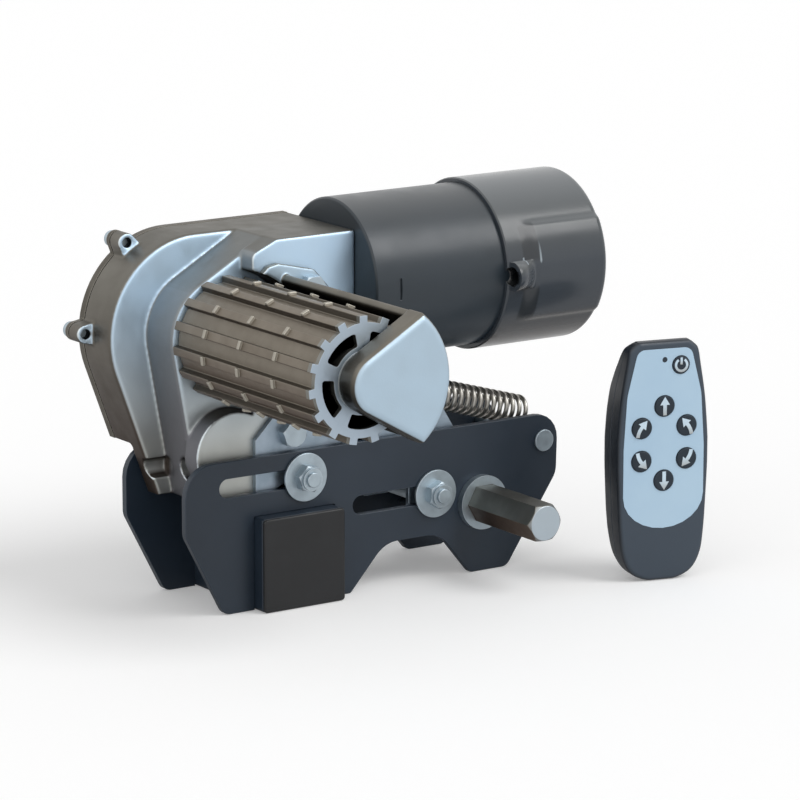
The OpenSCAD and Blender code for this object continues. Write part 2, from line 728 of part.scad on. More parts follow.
// M8 hexagon bolts of the near carriage plate and of the bracket
plate_head_turn = 12;
module hex_bolts() {
    color("#b4bcc2") {
        for (x = plate_bolt_x) {
            rod_y(x, plate_bolt_z, bolt_r - 0.02, near_carriage_y, face_c + bolt_grip);
            hex_head(x, plate_bolt_z, near_carriage_y - head_h, near_carriage_y,
                plate_head_turn);
        }
        for (s = [-1, 1]) {
            z = roller_z + s * bracket_bolt_rise;
            rod_y(bracket_bolt_x, z, bolt_r - 0.02, face_c - flange_t, face_c + bolt_grip);
            hex_head(bracket_bolt_x, z, face_c - flange_t - head_h, face_c - flange_t, 0);
        }
    }
}

// Guide bolts with their bushes, washers, lock nuts and spacer
guides = [[guide_a_x, guide_a_z], [guide_b_x, guide_b_z]];
washer_gap = 0.2;
bolt_tip = 1.5;
near_nut_y = -washer_gap - washer_t;
far_nut_y = back_y + washer_gap + washer_t;
module guide_bolts() {
    color("#b4bcc2") for (g = guides)
        rod_y(g.x, g.y, bolt_r - 0.02, near_nut_y - nut_h - bolt_tip, far_nut_y + nut_h + bolt_tip);
}
spacer_r = 7.5;
module guide_spacer() {
    color("#9aa3ab") ring_y(guide_b_x, guide_b_z, spacer_r, bolt_r + bolt_fit, face_c, far_carriage_y);
}
module slide_bushes() {
    color("#d8d6cc") for (g = guides) {
        ring_y(g.x, g.y, bush_r, bolt_r + run_fit, -washer_gap, near_carriage_y);
        ring_y(g.x, g.y, bush_r, bolt_r + run_fit, far_y - side_gap, back_y + washer_gap);
    }
}
module guide_washers() {
    color("#c3cad0") for (g = guides) {
        ring_y(g.x, g.y, washer_r, bolt_r + bolt_fit, near_nut_y, -washer_gap);
        ring_y(g.x, g.y, washer_r, bolt_r + bolt_fit, back_y + washer_gap, far_nut_y);
    }
}
collar_t = 1.4;
module lock_nut(g, turn) {
    difference() {
        union() {
            hex_head(g.x, g.y, -nut_h + collar_t, 0, turn);
            rod_y(g.x, g.y, nut_af / 2 - 0.6, -nut_h, -nut_h + 2 * collar_t);
        }
        rod_y(g.x, g.y, bolt_r, -nut_h - over, over);
    }
}
module lock_nuts() {
    color("#b4bcc2") for (i = [0, 1]) {
        translate([0, near_nut_y, 0]) lock_nut(guides[i], 14 + 22 * i);
        translate([0, far_nut_y, 0]) mirror([0, 1, 0]) lock_nut(guides[i], 5 + 17 * i);
    }
}

// Involute outline of a spur gear with its first tooth centred on the turn angle
pressure = 20;
function roll(r, base) = let (a = acos(min(1, base / r))) tan(a) * 180 / PI - a;
function tooth_half(r, base, n, play) =
    90 / n - play / (gear_m * n / 2) * 180 / PI + roll(gear_m * n / 2, base) - roll(max(r, base), base);
flank_steps = 4;
function spur(n, head, play) =
    let (pitch = gear_m * n / 2, base = pitch * cos(pressure), root = pitch - 1.25 * gear_m,
         tip = pitch + head, low = max(base, root),
         radii = concat(root < low ? [root] : [],
             [for (k = [0 : flank_steps]) low + (tip - low) * k / flank_steps]),
         last = len(radii) - 1)
    [for (i = [0 : n - 1]) each concat(
        [for (k = [0 : last]) let (a = 360 * i / n - tooth_half(radii[k], base, n, play))
            radii[k] * [cos(a), sin(a)]],
        [for (k = [last : -1 : 0]) let (a = 360 * i / n + tooth_half(radii[k], base, n, play))
            radii[k] * [cos(a), sin(a)]])];

// Rack on the far carriage plate, in mesh with the pinion on the hexagon shaft
rack_pitch = PI * gear_m;
rack_head = 1.6;
rack_teeth = ceil(travel / rack_pitch) + 2;
rack_y0 = far_carriage_y - rack_w;
function rack_tooth(x) =
    let (half = rack_pitch / 4 - tooth_play, lean = tan(pressure))
    [[x - half - (rack_z0 - rack_line) * lean, rack_z0],
     [x - half + rack_head * lean, rack_line - rack_head],
     [x + half - rack_head * lean, rack_line - rack_head],
     [x + half + (rack_z0 - rack_line) * lean, rack_z0]];
rack_x1 = shaft_x + (rack_teeth - 1) * rack_pitch + rack_pitch / 2;
module rack_bar() {
    color("#8f969c") difference() {
        along_y(rack_y0, far_carriage_y) polygon(concat([[rack_left, rack_z0]],
            [for (i = [-1 : rack_teeth - 1]) each rack_tooth(shaft_x + i * rack_pitch)],
            [[rack_x1, rack_z0], [rack_x1, rack_z1], [rack_left + rack_pad_len, rack_z1],
             [rack_left + rack_pad_len, rack_pad_z1], [rack_left, rack_pad_z1]]));
        for (p = csk_rack) rod_y(p.x, p.y, csk_r, rack_y0 - over, far_carriage_y + over);
    }
}
module drive_pinion() {
    color("#8f969c") translate([shaft_x, 0, shaft_z]) difference() {
        along_y(rack_y0 + 0.2, far_carriage_y - 0.2)
            rotate(90 + 180 / pinion_n) polygon(spur(pinion_n, gear_m, tooth_play));
        along_y(rack_y0 - over, far_carriage_y + over) hex_2d(hex_af + 2 * run_fit);
    }
}
hex_chamfer = 2;
module drive_hex_bar() {
    y0 = -hex_front;
    y1 = back_y + hex_back;
    r = hex_af / 2 / cos(30);
    color("#7d7870") intersection() {
        translate([shaft_x, 0, shaft_z]) along_y(y0, y1) hex_2d(hex_af);
        translate([shaft_x, y1, shaft_z]) rotate([90, 0, 0]) union() {
            cylinder(r = r + over, h = y1 - y0 - hex_chamfer);
            translate([0, 0, y1 - y0 - hex_chamfer])
                cylinder(r1 = r + 0.1, r2 = r - 0.9 * hex_chamfer, h = hex_chamfer);
        }
    }
}
flange_gap = 0.1;
module drive_bush(y_in, y_out, face) {
    difference() {
        union() {
            rod_y(shaft_x, shaft_z, shaft_bush_r, min(y_in, y_out), max(y_in, y_out));
            rod_y(shaft_x, shaft_z, shaft_flange_r, min(y_out, face), max(y_out, face));
        }
        translate([shaft_x, 0, shaft_z]) along_y(min(y_in, face) - over, max(y_in, face) + over)
            hex_2d(hex_af + 2 * run_fit);
    }
}
module drive_bushes() {
    color("#b9bec2") {
        drive_bush(plate_t + side_gap, -flange_gap, -flange_gap - shaft_flange_t);
        drive_bush(far_y - side_gap, back_y + flange_gap, back_y + flange_gap + shaft_flange_t);
    }
}
// Split clips on the hexagon bar keep the bushes and the pinion in place
clip_t = 1.5;
module drive_clip(y0) {
    difference() {
        rod_y(shaft_x, shaft_z, shaft_bush_r + 0.4, y0, y0 + clip_t);
        translate([shaft_x, 0, shaft_z])
            along_y(y0 - over, y0 + clip_t + over) hex_2d(hex_af + 2 * run_fit);
        translate([shaft_x - 1.5, y0 - over, shaft_z - shaft_bush_r - over])
            cube([3, clip_t + 2 * over, shaft_bush_r]);
    }
}
module drive_clips() {
    color("#6c7176") {
        drive_clip(back_y + flange_gap + shaft_flange_t + 0.1);
        drive_clip(rack_y0 - clip_t - 0.1);
    }
}

// Return spring: one unbroken wire with a side hook round each post
hook_r = post_r + wire_d / 2 + 0.3;
coil_r = (spring_od - wire_d) / 2;
coil_h = hook_r + coil_r;
lead = 8;
coil_pitch = (spring_span - 2 * lead) / (spring_turns + 0.5);
stud_z = post_z + spring_span * sin(spring_slope);
// Local points: s along the spring, d in depth, h square to the spring
function coil_point(t) = [lead + coil_pitch * (t - 90) / 360, coil_r * sin(t), coil_h - coil_r * cos(t)];
function bend(a, b, c, d, t) =
    pow(1 - t, 3) * a + 3 * t * pow(1 - t, 2) * b + 3 * t * t * (1 - t) * c + pow(t, 3) * d;
function mirror_point(p) = [spring_span - p.x, -p.y, p.z];
curl_rings = 8;
bend_in = coil_r * 0.62;
hook_start = [for (a = [320 : -32.5 : 92]) hook_r * [cos(a), 0, sin(a)]];
hook_tail = [hook_start[0] + wire_d * [-sin(320), 0, cos(320)]];
lead_in = [for (i = [0 : 5]) bend([0, 0, hook_r], [bend_in, 0, hook_r],
    [lead, coil_r, coil_h - bend_in], [lead, coil_r, coil_h], i / 6)];
half_path = concat(hook_tail, hook_start, lead_in);
coil_path = [for (i = [0 : curl_rings * (spring_turns + 0.5)]) coil_point(90 + 360 * i / curl_rings)];
spring_path = concat(half_path, coil_path,
    [for (i = [len(half_path) - 1 : -1 : 0]) mirror_point(half_path[i])]);
wire_sides = 6;
function turned(v, from, to) =
    let (axis = cross(from, to), s = norm(axis), c = from * to)
    s < 0.000001 ? v : let (k = axis / s) v * c + cross(k, v) * s + k * (k * v) * (1 - c);
function tangent(path, i) =
    unit(unit(path[min(len(path) - 1, i + 1)] - path[i == len(path) - 1 ? i - 1 : i])
        + unit(path[max(1, i)] - path[max(1, i) - 1]));
function frames(path, i, v) = i == len(path) ? [] :
    let (w = i == 0 ? v : turned(v, tangent(path, i - 1), tangent(path, i)))
    concat([w], frames(path, i + 1, w));
function ring(centre, t, up, r, sides) =
    let (u = unit(up - t * (up * t)), v = cross(t, u))
    [for (k = [0 : sides - 1]) centre + r * (cos(360 * k / sides) * u + sin(360 * k / sides) * v)];
module tube(path, r, sides, side_dir) {
    ups = frames(path, 0, side_dir);
    points = [for (i = [0 : len(path) - 1]) each ring(path[i], tangent(path, i), ups[i], r, sides)];
    last = (len(path) - 1) * sides;
    walls = [for (i = [0 : len(path) - 2]) for (k = [0 : sides - 1])
        let (a = i * sides + k, b = i * sides + (k + 1) % sides)
        each [[a, a + sides, b], [b, a + sides, b + sides]]];
    polyhedron(points, concat([[for (k = [0 : sides - 1]) k]], walls,
        [[for (k = [sides - 1 : -1 : 0]) last + k]]));
}
spring_gap = min([for (i = [0 : len(spring_path) - 1])
    for (j = [i + 5 : 1 : min(len(spring_path) - 1, i + 30)])
        norm(spring_path[i] - spring_path[j])]) - wire_d;
echo(spring_gap_mm = spring_gap);
module return_spring() {
    color("#c9ccd0") translate([stud_x, spring_y, stud_z]) rotate([0, spring_slope, 0])
        tube(spring_path, wire_d / 2, wire_sides, [0, 1, 0]);
}
stud_flange_t = 2;
stud_end_y = spring_y + wire_d / 2 + 3;
module spring_stud() {
    color("#9aa3ab") {
        rod_y(stud_x, stud_z, post_r - 0.02, near_carriage_y, stud_end_y);
        rod_y(stud_x, stud_z, post_r + 2, near_carriage_y - 1.5, near_carriage_y);
        rod_y(stud_x, stud_z, post_r + 2.4, stud_end_y - stud_flange_t, stud_end_y);
        rod_y(stud_x, stud_z, post_r + 2.4, face_c, face_c + stud_flange_t);
    }
}

// Drive roller: ribbed sleeve, toothed end disc, back web and the shaft through them
sleeve_y1 = face_b - 0.4;
sleeve_y0 = -roller_front + disc_t;
rib_phase = 18.2;
nub_w = 2.3;
nub_spacing = 33;
nub_last = 11.5;
bore_r = roller_root_r - roller_wall;
module rib_2d(r) {
    for (i = [0 : rib_n - 1]) rotate(rib_phase + 360 * i / rib_n)
        translate([roller_root_r - 1, -rib_w / 2]) square([r - roller_root_r + 1, rib_w]);
}
module roller_sleeve() {
    color("#7a7368") translate([roller_x, 0, roller_z]) difference() {
        union() {
            along_y(sleeve_y0, sleeve_y1) {
                circle(r = roller_root_r, $fn = 96);
                intersection() {
                    rib_2d(roller_tip_r + over);
                    circle(r = roller_tip_r, $fn = 96);
                }
            }
            for (k = [0 : 2]) let (y = -nub_last - k * nub_spacing)
                along_y(y - nub_w / 2, y + nub_w / 2) rib_2d(roller_tip_r + nub_h);
        }
        rod_y(0, 0, bore_r, sleeve_y0 - over, sleeve_y1 + over);
    }
}
window_in = 17.6;
window_out = 24.6;
window_span = 50;
window_phase = 127;
window_round = 1.3;
hub_r = 15.3;
hub_proud = 0.6;
// A ring's sector between two angles with its four corners rounded
function sector(r_in, r_out, half, steps, r) =
    let (pts = concat(arc([0, 0], r_out, -half, half, steps), arc([0, 0], r_in, half, -half, steps)))
    rounded([for (i = [0 : len(pts) - 1]) [pts[i].x, pts[i].y, i % (steps + 1) % steps == 0 ? r : 0]]);
module window_2d() { polygon(sector(window_in, window_out, window_span / 2, 8, window_round)); }
module roller_end_disc() {
    color("#aebfce") translate([roller_x, 0, roller_z]) difference() {
        union() {
            along_y(-roller_front, sleeve_y0) {
                circle(r = roller_root_r, $fn = 96);
                intersection() {
                    rib_2d(roller_tip_r + over);
                    circle(r = roller_tip_r, $fn = 96);
                }
            }
            rod_y(0, 0, hub_r, -roller_front - hub_proud, sleeve_y0 + 6);
        }
        for (i = [0 : window_n - 1]) rotate([0, -window_phase - 360 * i / window_n, 0])
            along_y(-roller_front - over, sleeve_y0 + over) window_2d();
        rod_y(0, 0, out_nose_r + run_fit / 3, -roller_front - 2 * over, sleeve_y0 + 7);
    }
}
out_nose_r = 8;
web_t = 6;
module roller_back_web() {
    color("#6f6a61")
        ring_y(roller_x, roller_z, bore_r, out_shaft_r + run_fit / 3, sleeve_y1 - 2 - web_t, sleeve_y1 - 2);
}
nose_y = -roller_front - 11;
module output_shaft() {
    color("#9aa0a5") {
        rod_y(roller_x, roller_z, out_nose_r, nose_y, sleeve_y0 + 8);
        rod_y(roller_x, roller_z, out_shaft_r, sleeve_y0 + 8, joint_y - shaft_end_gap);
    }
}
gear_y0 = face_a + cast_wall + 1.2;
module output_gear() {
    color("#8f969c") translate([roller_x, 0, roller_z]) difference() {
        union() {
            along_y(gear_y0, gear_y0 + gear_w)
                rotate(mesh_turn) polygon(spur(out_n, 0.75 * gear_m, tooth_play / 2));
            rod_y(0, 0, out_shaft_r + 5, gear_y0, joint_y - seat_depth - 1);
        }
        rod_y(0, 0, out_shaft_r + run_fit / 3, gear_y0 - over, rear_y);
    }
}

// Layshaft with the worm wheel and the small gear
module layshaft() {
    color("#9aa0a5")
        rod_y(lay_x, lay_z, lay_r, lay_bearing_y + shaft_end_gap, joint_y - shaft_end_gap);
}
wheel_half = 3;
module worm_wheel() {
    color("#b08d4a") translate([lay_x, 0, lay_z]) difference() {
        union() {
            along_y(motor_y - wheel_half, motor_y + wheel_half)
                rotate(90 + 180 / wheel_n) polygon(spur(wheel_n, 0.8 * gear_m, tooth_play * 1.3));
            rod_y(0, 0, lay_r + 3, lay_bearing_y + lay_bearing_w + 0.4, motor_y + wheel_half + 4);
        }
        rod_y(0, 0, lay_r + run_fit / 3, face_c, rear_y);
    }
}
module layshaft_pinion() {
    color("#8f969c") translate([lay_x, 0, lay_z]) difference() {
        along_y(gear_y0 - 1, gear_y0 + gear_w + 1)
            rotate(mesh_turn + 180 + 180 / small_n) polygon(spur(small_n, gear_m, tooth_play / 2));
        rod_y(0, 0, lay_r + run_fit / 3, face_c, rear_y);
    }
}

// Bearings: plain rings of inner race, outer race and the ball row between them
module bearing_2d(r_in, r_out, w) {
    race = (r_out - r_in) * 0.3;
    for (a = [r_in, r_out - race]) translate([a, 0]) square([race, w]);
    translate([r_in + race, 0.18 * w]) square([r_out - r_in - 2 * race, 0.64 * w]);
}
module bearing(r_in, r_out, w) {
    rotate_extrude() bearing_2d(r_in + run_fit / 2, r_out - run_fit / 3, w);
}
module bearing_y(x, z, r_in, r_out, y0, w) {
    translate([x, y0 + w, z]) rotate([90, 0, 0]) bearing(r_in, r_out, w);
}
module bearing_x(r_in, r_out, x0, w) {
    translate([x0, motor_y, motor_z]) rotate([0, 90, 0]) bearing(r_in, r_out, w);
}
nose_bearing_r = 12;
nose_bearing_w = 8;
module roller_bearings() {
    color("#aab0b5") {
        bearing_y(roller_x, roller_z, out_nose_r, nose_bearing_r, nose_y + 1, nose_bearing_w);
        bearing_y(roller_x, roller_z, out_shaft_r, out_bearing_r, face_b + 3, out_bearing_w);
        bearing_y(roller_x, roller_z, out_shaft_r, out_bearing_r,
            joint_y - out_bearing_w - 0.3, out_bearing_w);
    }
}
tail_bearing_x = case_right + can_len + 24;
module gear_bearings() {
    color("#aab0b5") {
        bearing_y(lay_x, lay_z, lay_r, lay_bearing_r, lay_bearing_y, lay_bearing_w);
        bearing_y(lay_x, lay_z, lay_r, lay_bearing_r, joint_y - lay_bearing_w - 0.3, lay_bearing_w);
        bearing_x(worm_shaft_r, worm_bearing_r, worm_left, worm_bearing_w);
        bearing_x(worm_shaft_r, worm_bearing_r, right_seat_x, worm_bearing_w);
        bearing_x(worm_shaft_r, worm_bearing_r, tail_bearing_x, worm_bearing_w);
    }
}
module shaft_seal() {
    color("#1d1d1f")
        ring_y(roller_x, roller_z, out_shaft_r + 1.45, out_shaft_r + run_fit, face_b - 0.4, face_b + 2.8);
}

// Bracket that carries the roller's outer end: a foot flange, a curved arm and the end plate
plate_play = 1;
bracket_y1 = -roller_front - plate_play;
bracket_y0 = bracket_y1 - end_plate_t;
arm_steps = 20;
arm_edge = 1.9;
end_edge = 3;
bolt_top = roller_z + bracket_bolt_rise;
// Corners of the flange's upper half: their offsets from the upper bolt, and their radii
flange_corners = [[-28.7, 9.7, 1.5], [-24.7, 13.6, 2], [-18.8, 14.6, 4], [3.4, 9.3, 4], [13.6, -2.2, 3]];
flange_top = [for (p = flange_corners) [bracket_bolt_x + p.x, bolt_top + p.y, p.z]];
flange_low = [for (i = [len(flange_top) - 1 : -1 : 0])
    [flange_top[i].x, 2 * roller_z - flange_top[i].y, flange_top[i].z]];
// Outline of the end plate, drawn in evenly by the inset
module end_plate_2d(inset = 0) {
    lean = arm_half + acos(nose_r / arm_r);
    half = lean - acos((nose_r - inset) / (arm_r - inset));
    polygon(concat(arc([0, 0], arm_r - inset, -half, half, arm_steps),
        arc([0, 0], nose_r - inset, lean, 360 - lean, 16)));
}
module roller_bracket() {
    pocket_r = nut_af / 2 / cos(30) + 0.4;
    flange_y = face_c - flange_t;
    color("#a5b6c4") difference() {
        union() {
            translate([roller_x, 0, roller_z]) {
                along_y(bracket_y1 - over, face_c)
                    polygon(sector(arm_r - arm_wall, arm_r, arm_half, arm_steps, arm_edge));
                along_y(bracket_y0 + end_edge, bracket_y1) end_plate_2d();
                round_edge(bracket_y0, end_edge) {
                    end_plate_2d();
                    end_plate_2d(0.3 * end_edge);
                    end_plate_2d(end_edge);
                }
            }
            difference() {
                along_y(flange_y, face_c) polygon(rounded(concat(flange_top, flange_low)));
                rod_y(roller_x, roller_z, block_clear_r, flange_y - over, face_c + over);
            }
        }
        // Room for the bolt heads in the outside of the arm
        for (s = [-1, 1])
            rod_y(bracket_bolt_x, roller_z + s * bracket_bolt_rise, pocket_r,
                flange_y - head_h - over, flange_y);
        for (s = [-1, 1]) {
            z = roller_z + s * bracket_bolt_rise;
            rod_y(bracket_bolt_x, z, bolt_r + bolt_fit, face_c - flange_t - over, face_c + over);
        }
        rod_y(roller_x, roller_z, nose_bearing_r, nose_y - over, bracket_y1 + over);
    }
}

// Motor: can, end cover, magnets, brush gear and the armature
can_x0 = case_right;
can_x1 = case_right + can_len;
can_end_t = 4;
can_lip = 8;
can_bevel = 1;
module can_shell_2d() {
    polygon([[0, 0], [can_r - can_bevel, 0], [can_r, can_bevel], [can_r, can_len + can_lip],
        [can_r - can_wall, can_len + can_lip], [can_r - can_wall, can_end_t], [0, can_end_t]]);
}
module motor_can() {
    color("#2f3a42") difference() {
        translate([can_x0, motor_y, motor_z]) rotate([0, 90, 0]) rotate_extrude($fn = 96) can_shell_2d();
        rod_x(motor_y, motor_z, worm_shaft_r + 3, can_x0 - over, can_x0 + can_end_t + over);
        for (p = motor_screws) rod_x(p.x, p.y, screw_r, can_x0 - over, can_x0 + can_end_t + over);
        // Small slot that the rolled can shows on its near side
        translate([can_x0 + 14.5, motor_y - can_r - over, motor_z - 5.8]) cube([1.5, over + 1.2, 11.6]);
    }
}
end_x0 = can_x1;
end_x1 = can_x1 + end_len;
end_round = 4;
end_lip_gap = 0.1;
pad_half = 33.5;
pad_rise = 1.8;
pad_start = 10;
pad_ramp = 11.5;
pad_short = 0.4;
inlet_boss_r = 7.8;
inlet_len = 13;
inlet_y = motor_y - end_r - 1.6;
inlet_z = motor_z;
inlet_cross_r = 2.8;
inlet_cross_x = end_x0 + inlet_len - inlet_cross_r - 0.6;
pad_root_r = end_r - 0.6 * end_wall;
module end_shell_2d() {
    r = end_r;
    inner = end_r - end_wall;
    polygon(concat([[can_r + end_lip_gap, 0], [r - 0.8, 0], [r, 0.8]],
        arc([r - end_round, end_len - end_round], end_round, 0, 90, 6),
        [[0, end_len], [0, end_len - end_wall]],
        [[inner - end_round, end_len - end_wall], [inner, end_len - end_wall - end_round],
         [inner, can_lip + 1], [can_r + end_lip_gap, can_lip + 1]]));
}
// The raised pad swells out of the wall over pad_ramp and runs out over the rounded end
module pad_2d() {
    top_r = end_r + pad_rise;
    last = end_len - pad_short;
    polygon(concat([[pad_root_r, pad_start], [end_r + 0.2, pad_start], [top_r, pad_start + pad_ramp]],
        arc([top_r - end_round, last - end_round], end_round, 0, 90, 6),
        [[end_r - end_round + 0.8, last], [pad_root_r, last - end_round]]));
}
module motor_end_cover() {
    color("#4a4a4c") difference() {
        union() {
            translate([end_x0, motor_y, motor_z]) rotate([0, 90, 0])
                rotate_extrude($fn = 96) end_shell_2d();
            translate([end_x0, motor_y, motor_z]) rotate([0, 90, 0])
                rotate([0, 0, -90 - pad_half]) rotate_extrude(angle = 2 * pad_half, $fn = 96) pad_2d();
            // The inlet's boss, with a cone that falls back to the pad behind it
            difference() {
                union() {
                    rod_x(inlet_y, inlet_z, inlet_boss_r, end_x0 + 1.5, end_x0 + can_lip);
                    translate([end_x0 + can_lip, inlet_y, inlet_z]) rotate([0, 90, 0])
                        cylinder(r1 = inlet_boss_r, r2 = inlet_boss_r / 2, h = inlet_len);
                }
                rod_x(motor_y, motor_z, end_r - end_wall / 2, end_x0, end_x0 + 2 * inlet_len);
            }
        }
        // The cable goes in along the motor and turns through the wall behind the can's lip
        rod_x(inlet_y, inlet_z, inlet_r, end_x0 - over, end_x0 + inlet_len);
        rod_y(inlet_cross_x, inlet_z, inlet_cross_r, inlet_y, inlet_y + 2 * inlet_r);
    }
}
magnet_t = 7;
magnet_gap = 0.1;
magnet_half = 62;
core_gap = 15;
core_x0 = case_right + core_gap;
core_len = 58;
magnet_extra = 3;
module motor_magnets() {
    r1 = can_r - can_wall - magnet_gap;
    color("#3a3b3d") for (s = [0, 180])
        translate([0, motor_y, motor_z]) along_x(core_x0 - magnet_extra, core_x0 + core_len + magnet_extra)
            polygon(concat(arc([0, 0], r1, s - magnet_half, s + magnet_half, 16),
                arc([0, 0], r1 - magnet_t, s + magnet_half, s - magnet_half, 16)));
}
air_gap = 1;
core_r = can_r - can_wall - magnet_gap - magnet_t - air_gap;
slot_n = 12;
slot_deep = 9;
slot_w = 3.2;
module armature_core() {
    color("#6a6d70") translate([0, motor_y, motor_z]) difference() {
        along_x(core_x0, core_x0 + core_len) difference() {
            circle(r = core_r, $fn = 96);
            for (i = [0 : slot_n - 1]) rotate(360 * i / slot_n)
                translate([core_r - slot_deep, -slot_w / 2]) square([slot_deep + over, slot_w]);
        }
        rod_x(0, 0, worm_shaft_r + run_fit / 3, core_x0 - over, core_x0 + core_len + over);
    }
}
winding_r = 27;
winding_t = 8;
module armature_winding() {
    color("#b5652f") {
        ring_x(motor_y, motor_z, winding_r, 9, core_x0 - winding_t, core_x0);
        ring_x(motor_y, motor_z, winding_r, 9, core_x0 + core_len, core_x0 + core_len + winding_t);
    }
}
comm_r = 13;
comm_x0 = core_x0 + core_len + winding_t + 1;
comm_len = tail_bearing_x - comm_x0 - 2;
bar_n = 24;
bar_cut = 1;
module commutator() {
    color("#b87333") translate([0, motor_y, motor_z]) difference() {
        along_x(comm_x0, comm_x0 + comm_len) difference() {
            circle(r = comm_r, $fn = 96);
            for (i = [0 : bar_n - 1]) rotate(360 * i / bar_n)
                translate([comm_r - bar_cut, -bar_cut / 4]) square([bar_cut + over, bar_cut / 2]);
        }
        rod_x(0, 0, worm_shaft_r + run_fit / 3, comm_x0 - over, comm_x0 + comm_len + over);
    }
}
module armature_shaft() {
    color("#9aa0a5")
        rod_x(motor_y, motor_z, worm_shaft_r, worm_left - 1, tail_bearing_x + worm_bearing_w + 1);
}
// Worm with one thread, whose outline is turned once in each pitch along the shaft
worm_head = 1.8;
worm_foot = 2.4;
thread_half = 1.1;
worm_start = 0;
function worm_reach(a) =
    let (off = abs(a) / 360 * rack_pitch, top = thread_half - worm_head * tan(pressure))
    off < top ? worm_r + worm_head :
    max(worm_r - worm_foot, worm_r + worm_head - (off - top) / tan(pressure));
thread_angles = [for (a = [-180 : 15 : 165]) a];
slices_per_turn = 18;
module worm() {
    turns = 2 * worm_half / rack_pitch;
    color("#9aa0a5") difference() {
        translate([lay_x - worm_half, motor_y, motor_z]) rotate([0, 90, 0])
            rotate(worm_start - 180 * turns)
            linear_extrude(2 * worm_half, twist = -360 * turns, slices = ceil(turns * slices_per_turn))
                polygon([for (a = thread_angles) worm_reach(a) * [cos(a), sin(a)]]);
        rod_x(motor_y, motor_z, worm_shaft_r + run_fit / 3,
            lay_x - worm_half - over, lay_x + worm_half + over);
    }
}
brush_x0 = comm_x0 + 4;
brush_w = 8;
brush_t = 6;
brush_len = 12;
brush_fit = 0.1;
holder_wall = 2;
plate_in_r = comm_r + 7;
plate_x0 = can_x1 + can_lip - 4;
// Two blocks, one above and one below the commutator
module brush_blocks(x0, w, t, z0, z1) {
    for (s = [0, 1]) translate([x0, motor_y - t / 2, motor_z]) mirror([0, 0, s])
        translate([0, 0, z0]) cube([w, t, z1 - z0]);
}
module carbon_brushes() {
    color("#2b2b2d") brush_blocks(brush_x0, brush_w, brush_t, comm_r + 0.3, comm_r + 0.3 + brush_len);
}
module brush_plate() {
    seat_x1 = tail_bearing_x + worm_bearing_w + 1;
    color("#5b4a38") difference() {
        union() {
            ring_x(motor_y, motor_z, can_r - can_wall - 0.2, plate_in_r, plate_x0, plate_x0 + 3);
            ring_x(motor_y, motor_z, plate_in_r + 3, plate_in_r, plate_x0, seat_x1);
            ring_x(motor_y, motor_z, plate_in_r + 1, worm_bearing_r, tail_bearing_x, seat_x1);
            brush_blocks(brush_x0 - holder_wall, brush_w + 2 * holder_wall, brush_t + 2 * holder_wall,
                comm_r + 2, comm_r + 2 + brush_len + holder_wall);
        }
        brush_blocks(brush_x0 - brush_fit, brush_w + 2 * brush_fit, brush_t + 2 * brush_fit,
            comm_r, comm_r + 0.4 + brush_len);
    }
}

// Handset, standing on its lower end: u is across the face, the depth runs to the back
module handset_place() { translate([hand_x, -hand_y, 0]) rotate([0, 0, -hand_turn]) children(); }
half_w = hand_w / 2;
hand_right = [[0, 0], [0.34, 0.003], [0.67, 0.036], [0.86, 0.105], [0.93, 0.203], [0.97, 0.341],
    [1, 0.49], [1, 0.585], [0.93, 0.76], [0.82, 0.9]];
hand_top = 0.74;
hand_corner = 9;
function hand_pts(inset) =
    let (w = half_w - inset, h = hand_h - 2 * inset, last = hand_right[len(hand_right) - 1],
         side = [last.x * w, inset + last.y * h], top = [hand_top * w, inset + h])
    concat([for (p = hand_right) [p.x * w, inset + p.y * h]],
        corner(side, top, [-top.x, top.y], hand_corner),
        corner(top, [-top.x, top.y], [-side.x, side.y], hand_corner),
        [for (i = [len(hand_right) - 1 : -1 : 1]) [-hand_right[i].x * w, inset + hand_right[i].y * h]]);
module hand_2d(inset) { polygon(hand_pts(inset)); }
// Side view: shares of the height, and of the depth that the back reaches there
hand_back = [[0, 0.37], [0.04, 0.59], [0.1, 0.78], [0.2, 0.95], [0.29, 1], [0.7, 1], [0.8, 0.94],
    [0.87, 0.79], [0.93, 0.6], [0.975, 0.43], [1, 0.28]];
module hand_side(inset) {
    along_x(-hand_w, hand_w) polygon(concat([[-over, 0]],
        [for (p = hand_back) [p.y * hand_t - inset, p.x * hand_h]], [[-over, hand_h]]));
}
hand_split = 0.48;
face_edge = 2.4;
back_edge = 5;
split_y = hand_t * hand_split;
panel_t = 0.6;
panel_low = 28.8;
panel_bowl = 18;
panel_inset = 2.7;
panel_corner = 5;
panel_waist = 30;
buttons = [["button_power", 9.2, 117.3, power_r], ["button_forward", 0, 95.5, arrow_r],
    ["button_reverse", 0, 55, arrow_r], ["button_forward_left", -12.9, 84.2, arrow_r],
    ["button_forward_right", 12.9, 84.2, arrow_r], ["button_reverse_left", -12.9, 66.2, arrow_r],
    ["button_reverse_right", 12.9, 66.2, arrow_r]];
lamp_z = 120.6;
lamp_r = 1.35;
button_fit = 0.3;
module panel_2d() {
    w = half_w - panel_inset - 0.4;
    top = hand_h - panel_inset - 1.3;
    right = [[0.66 * w, top, panel_corner], [0.92 * w, 0.78 * hand_h, panel_waist],
        [w, 0.56 * hand_h, panel_waist]];
    polygon(rounded(concat(right,
        [for (a = [0 : -15 : -180]) [w * cos(a), panel_low + panel_bowl * (1 + sin(a)), 0]],
        [for (i = [2 : -1 : 0]) [-right[i].x, right[i].y, right[i].z]])));
}
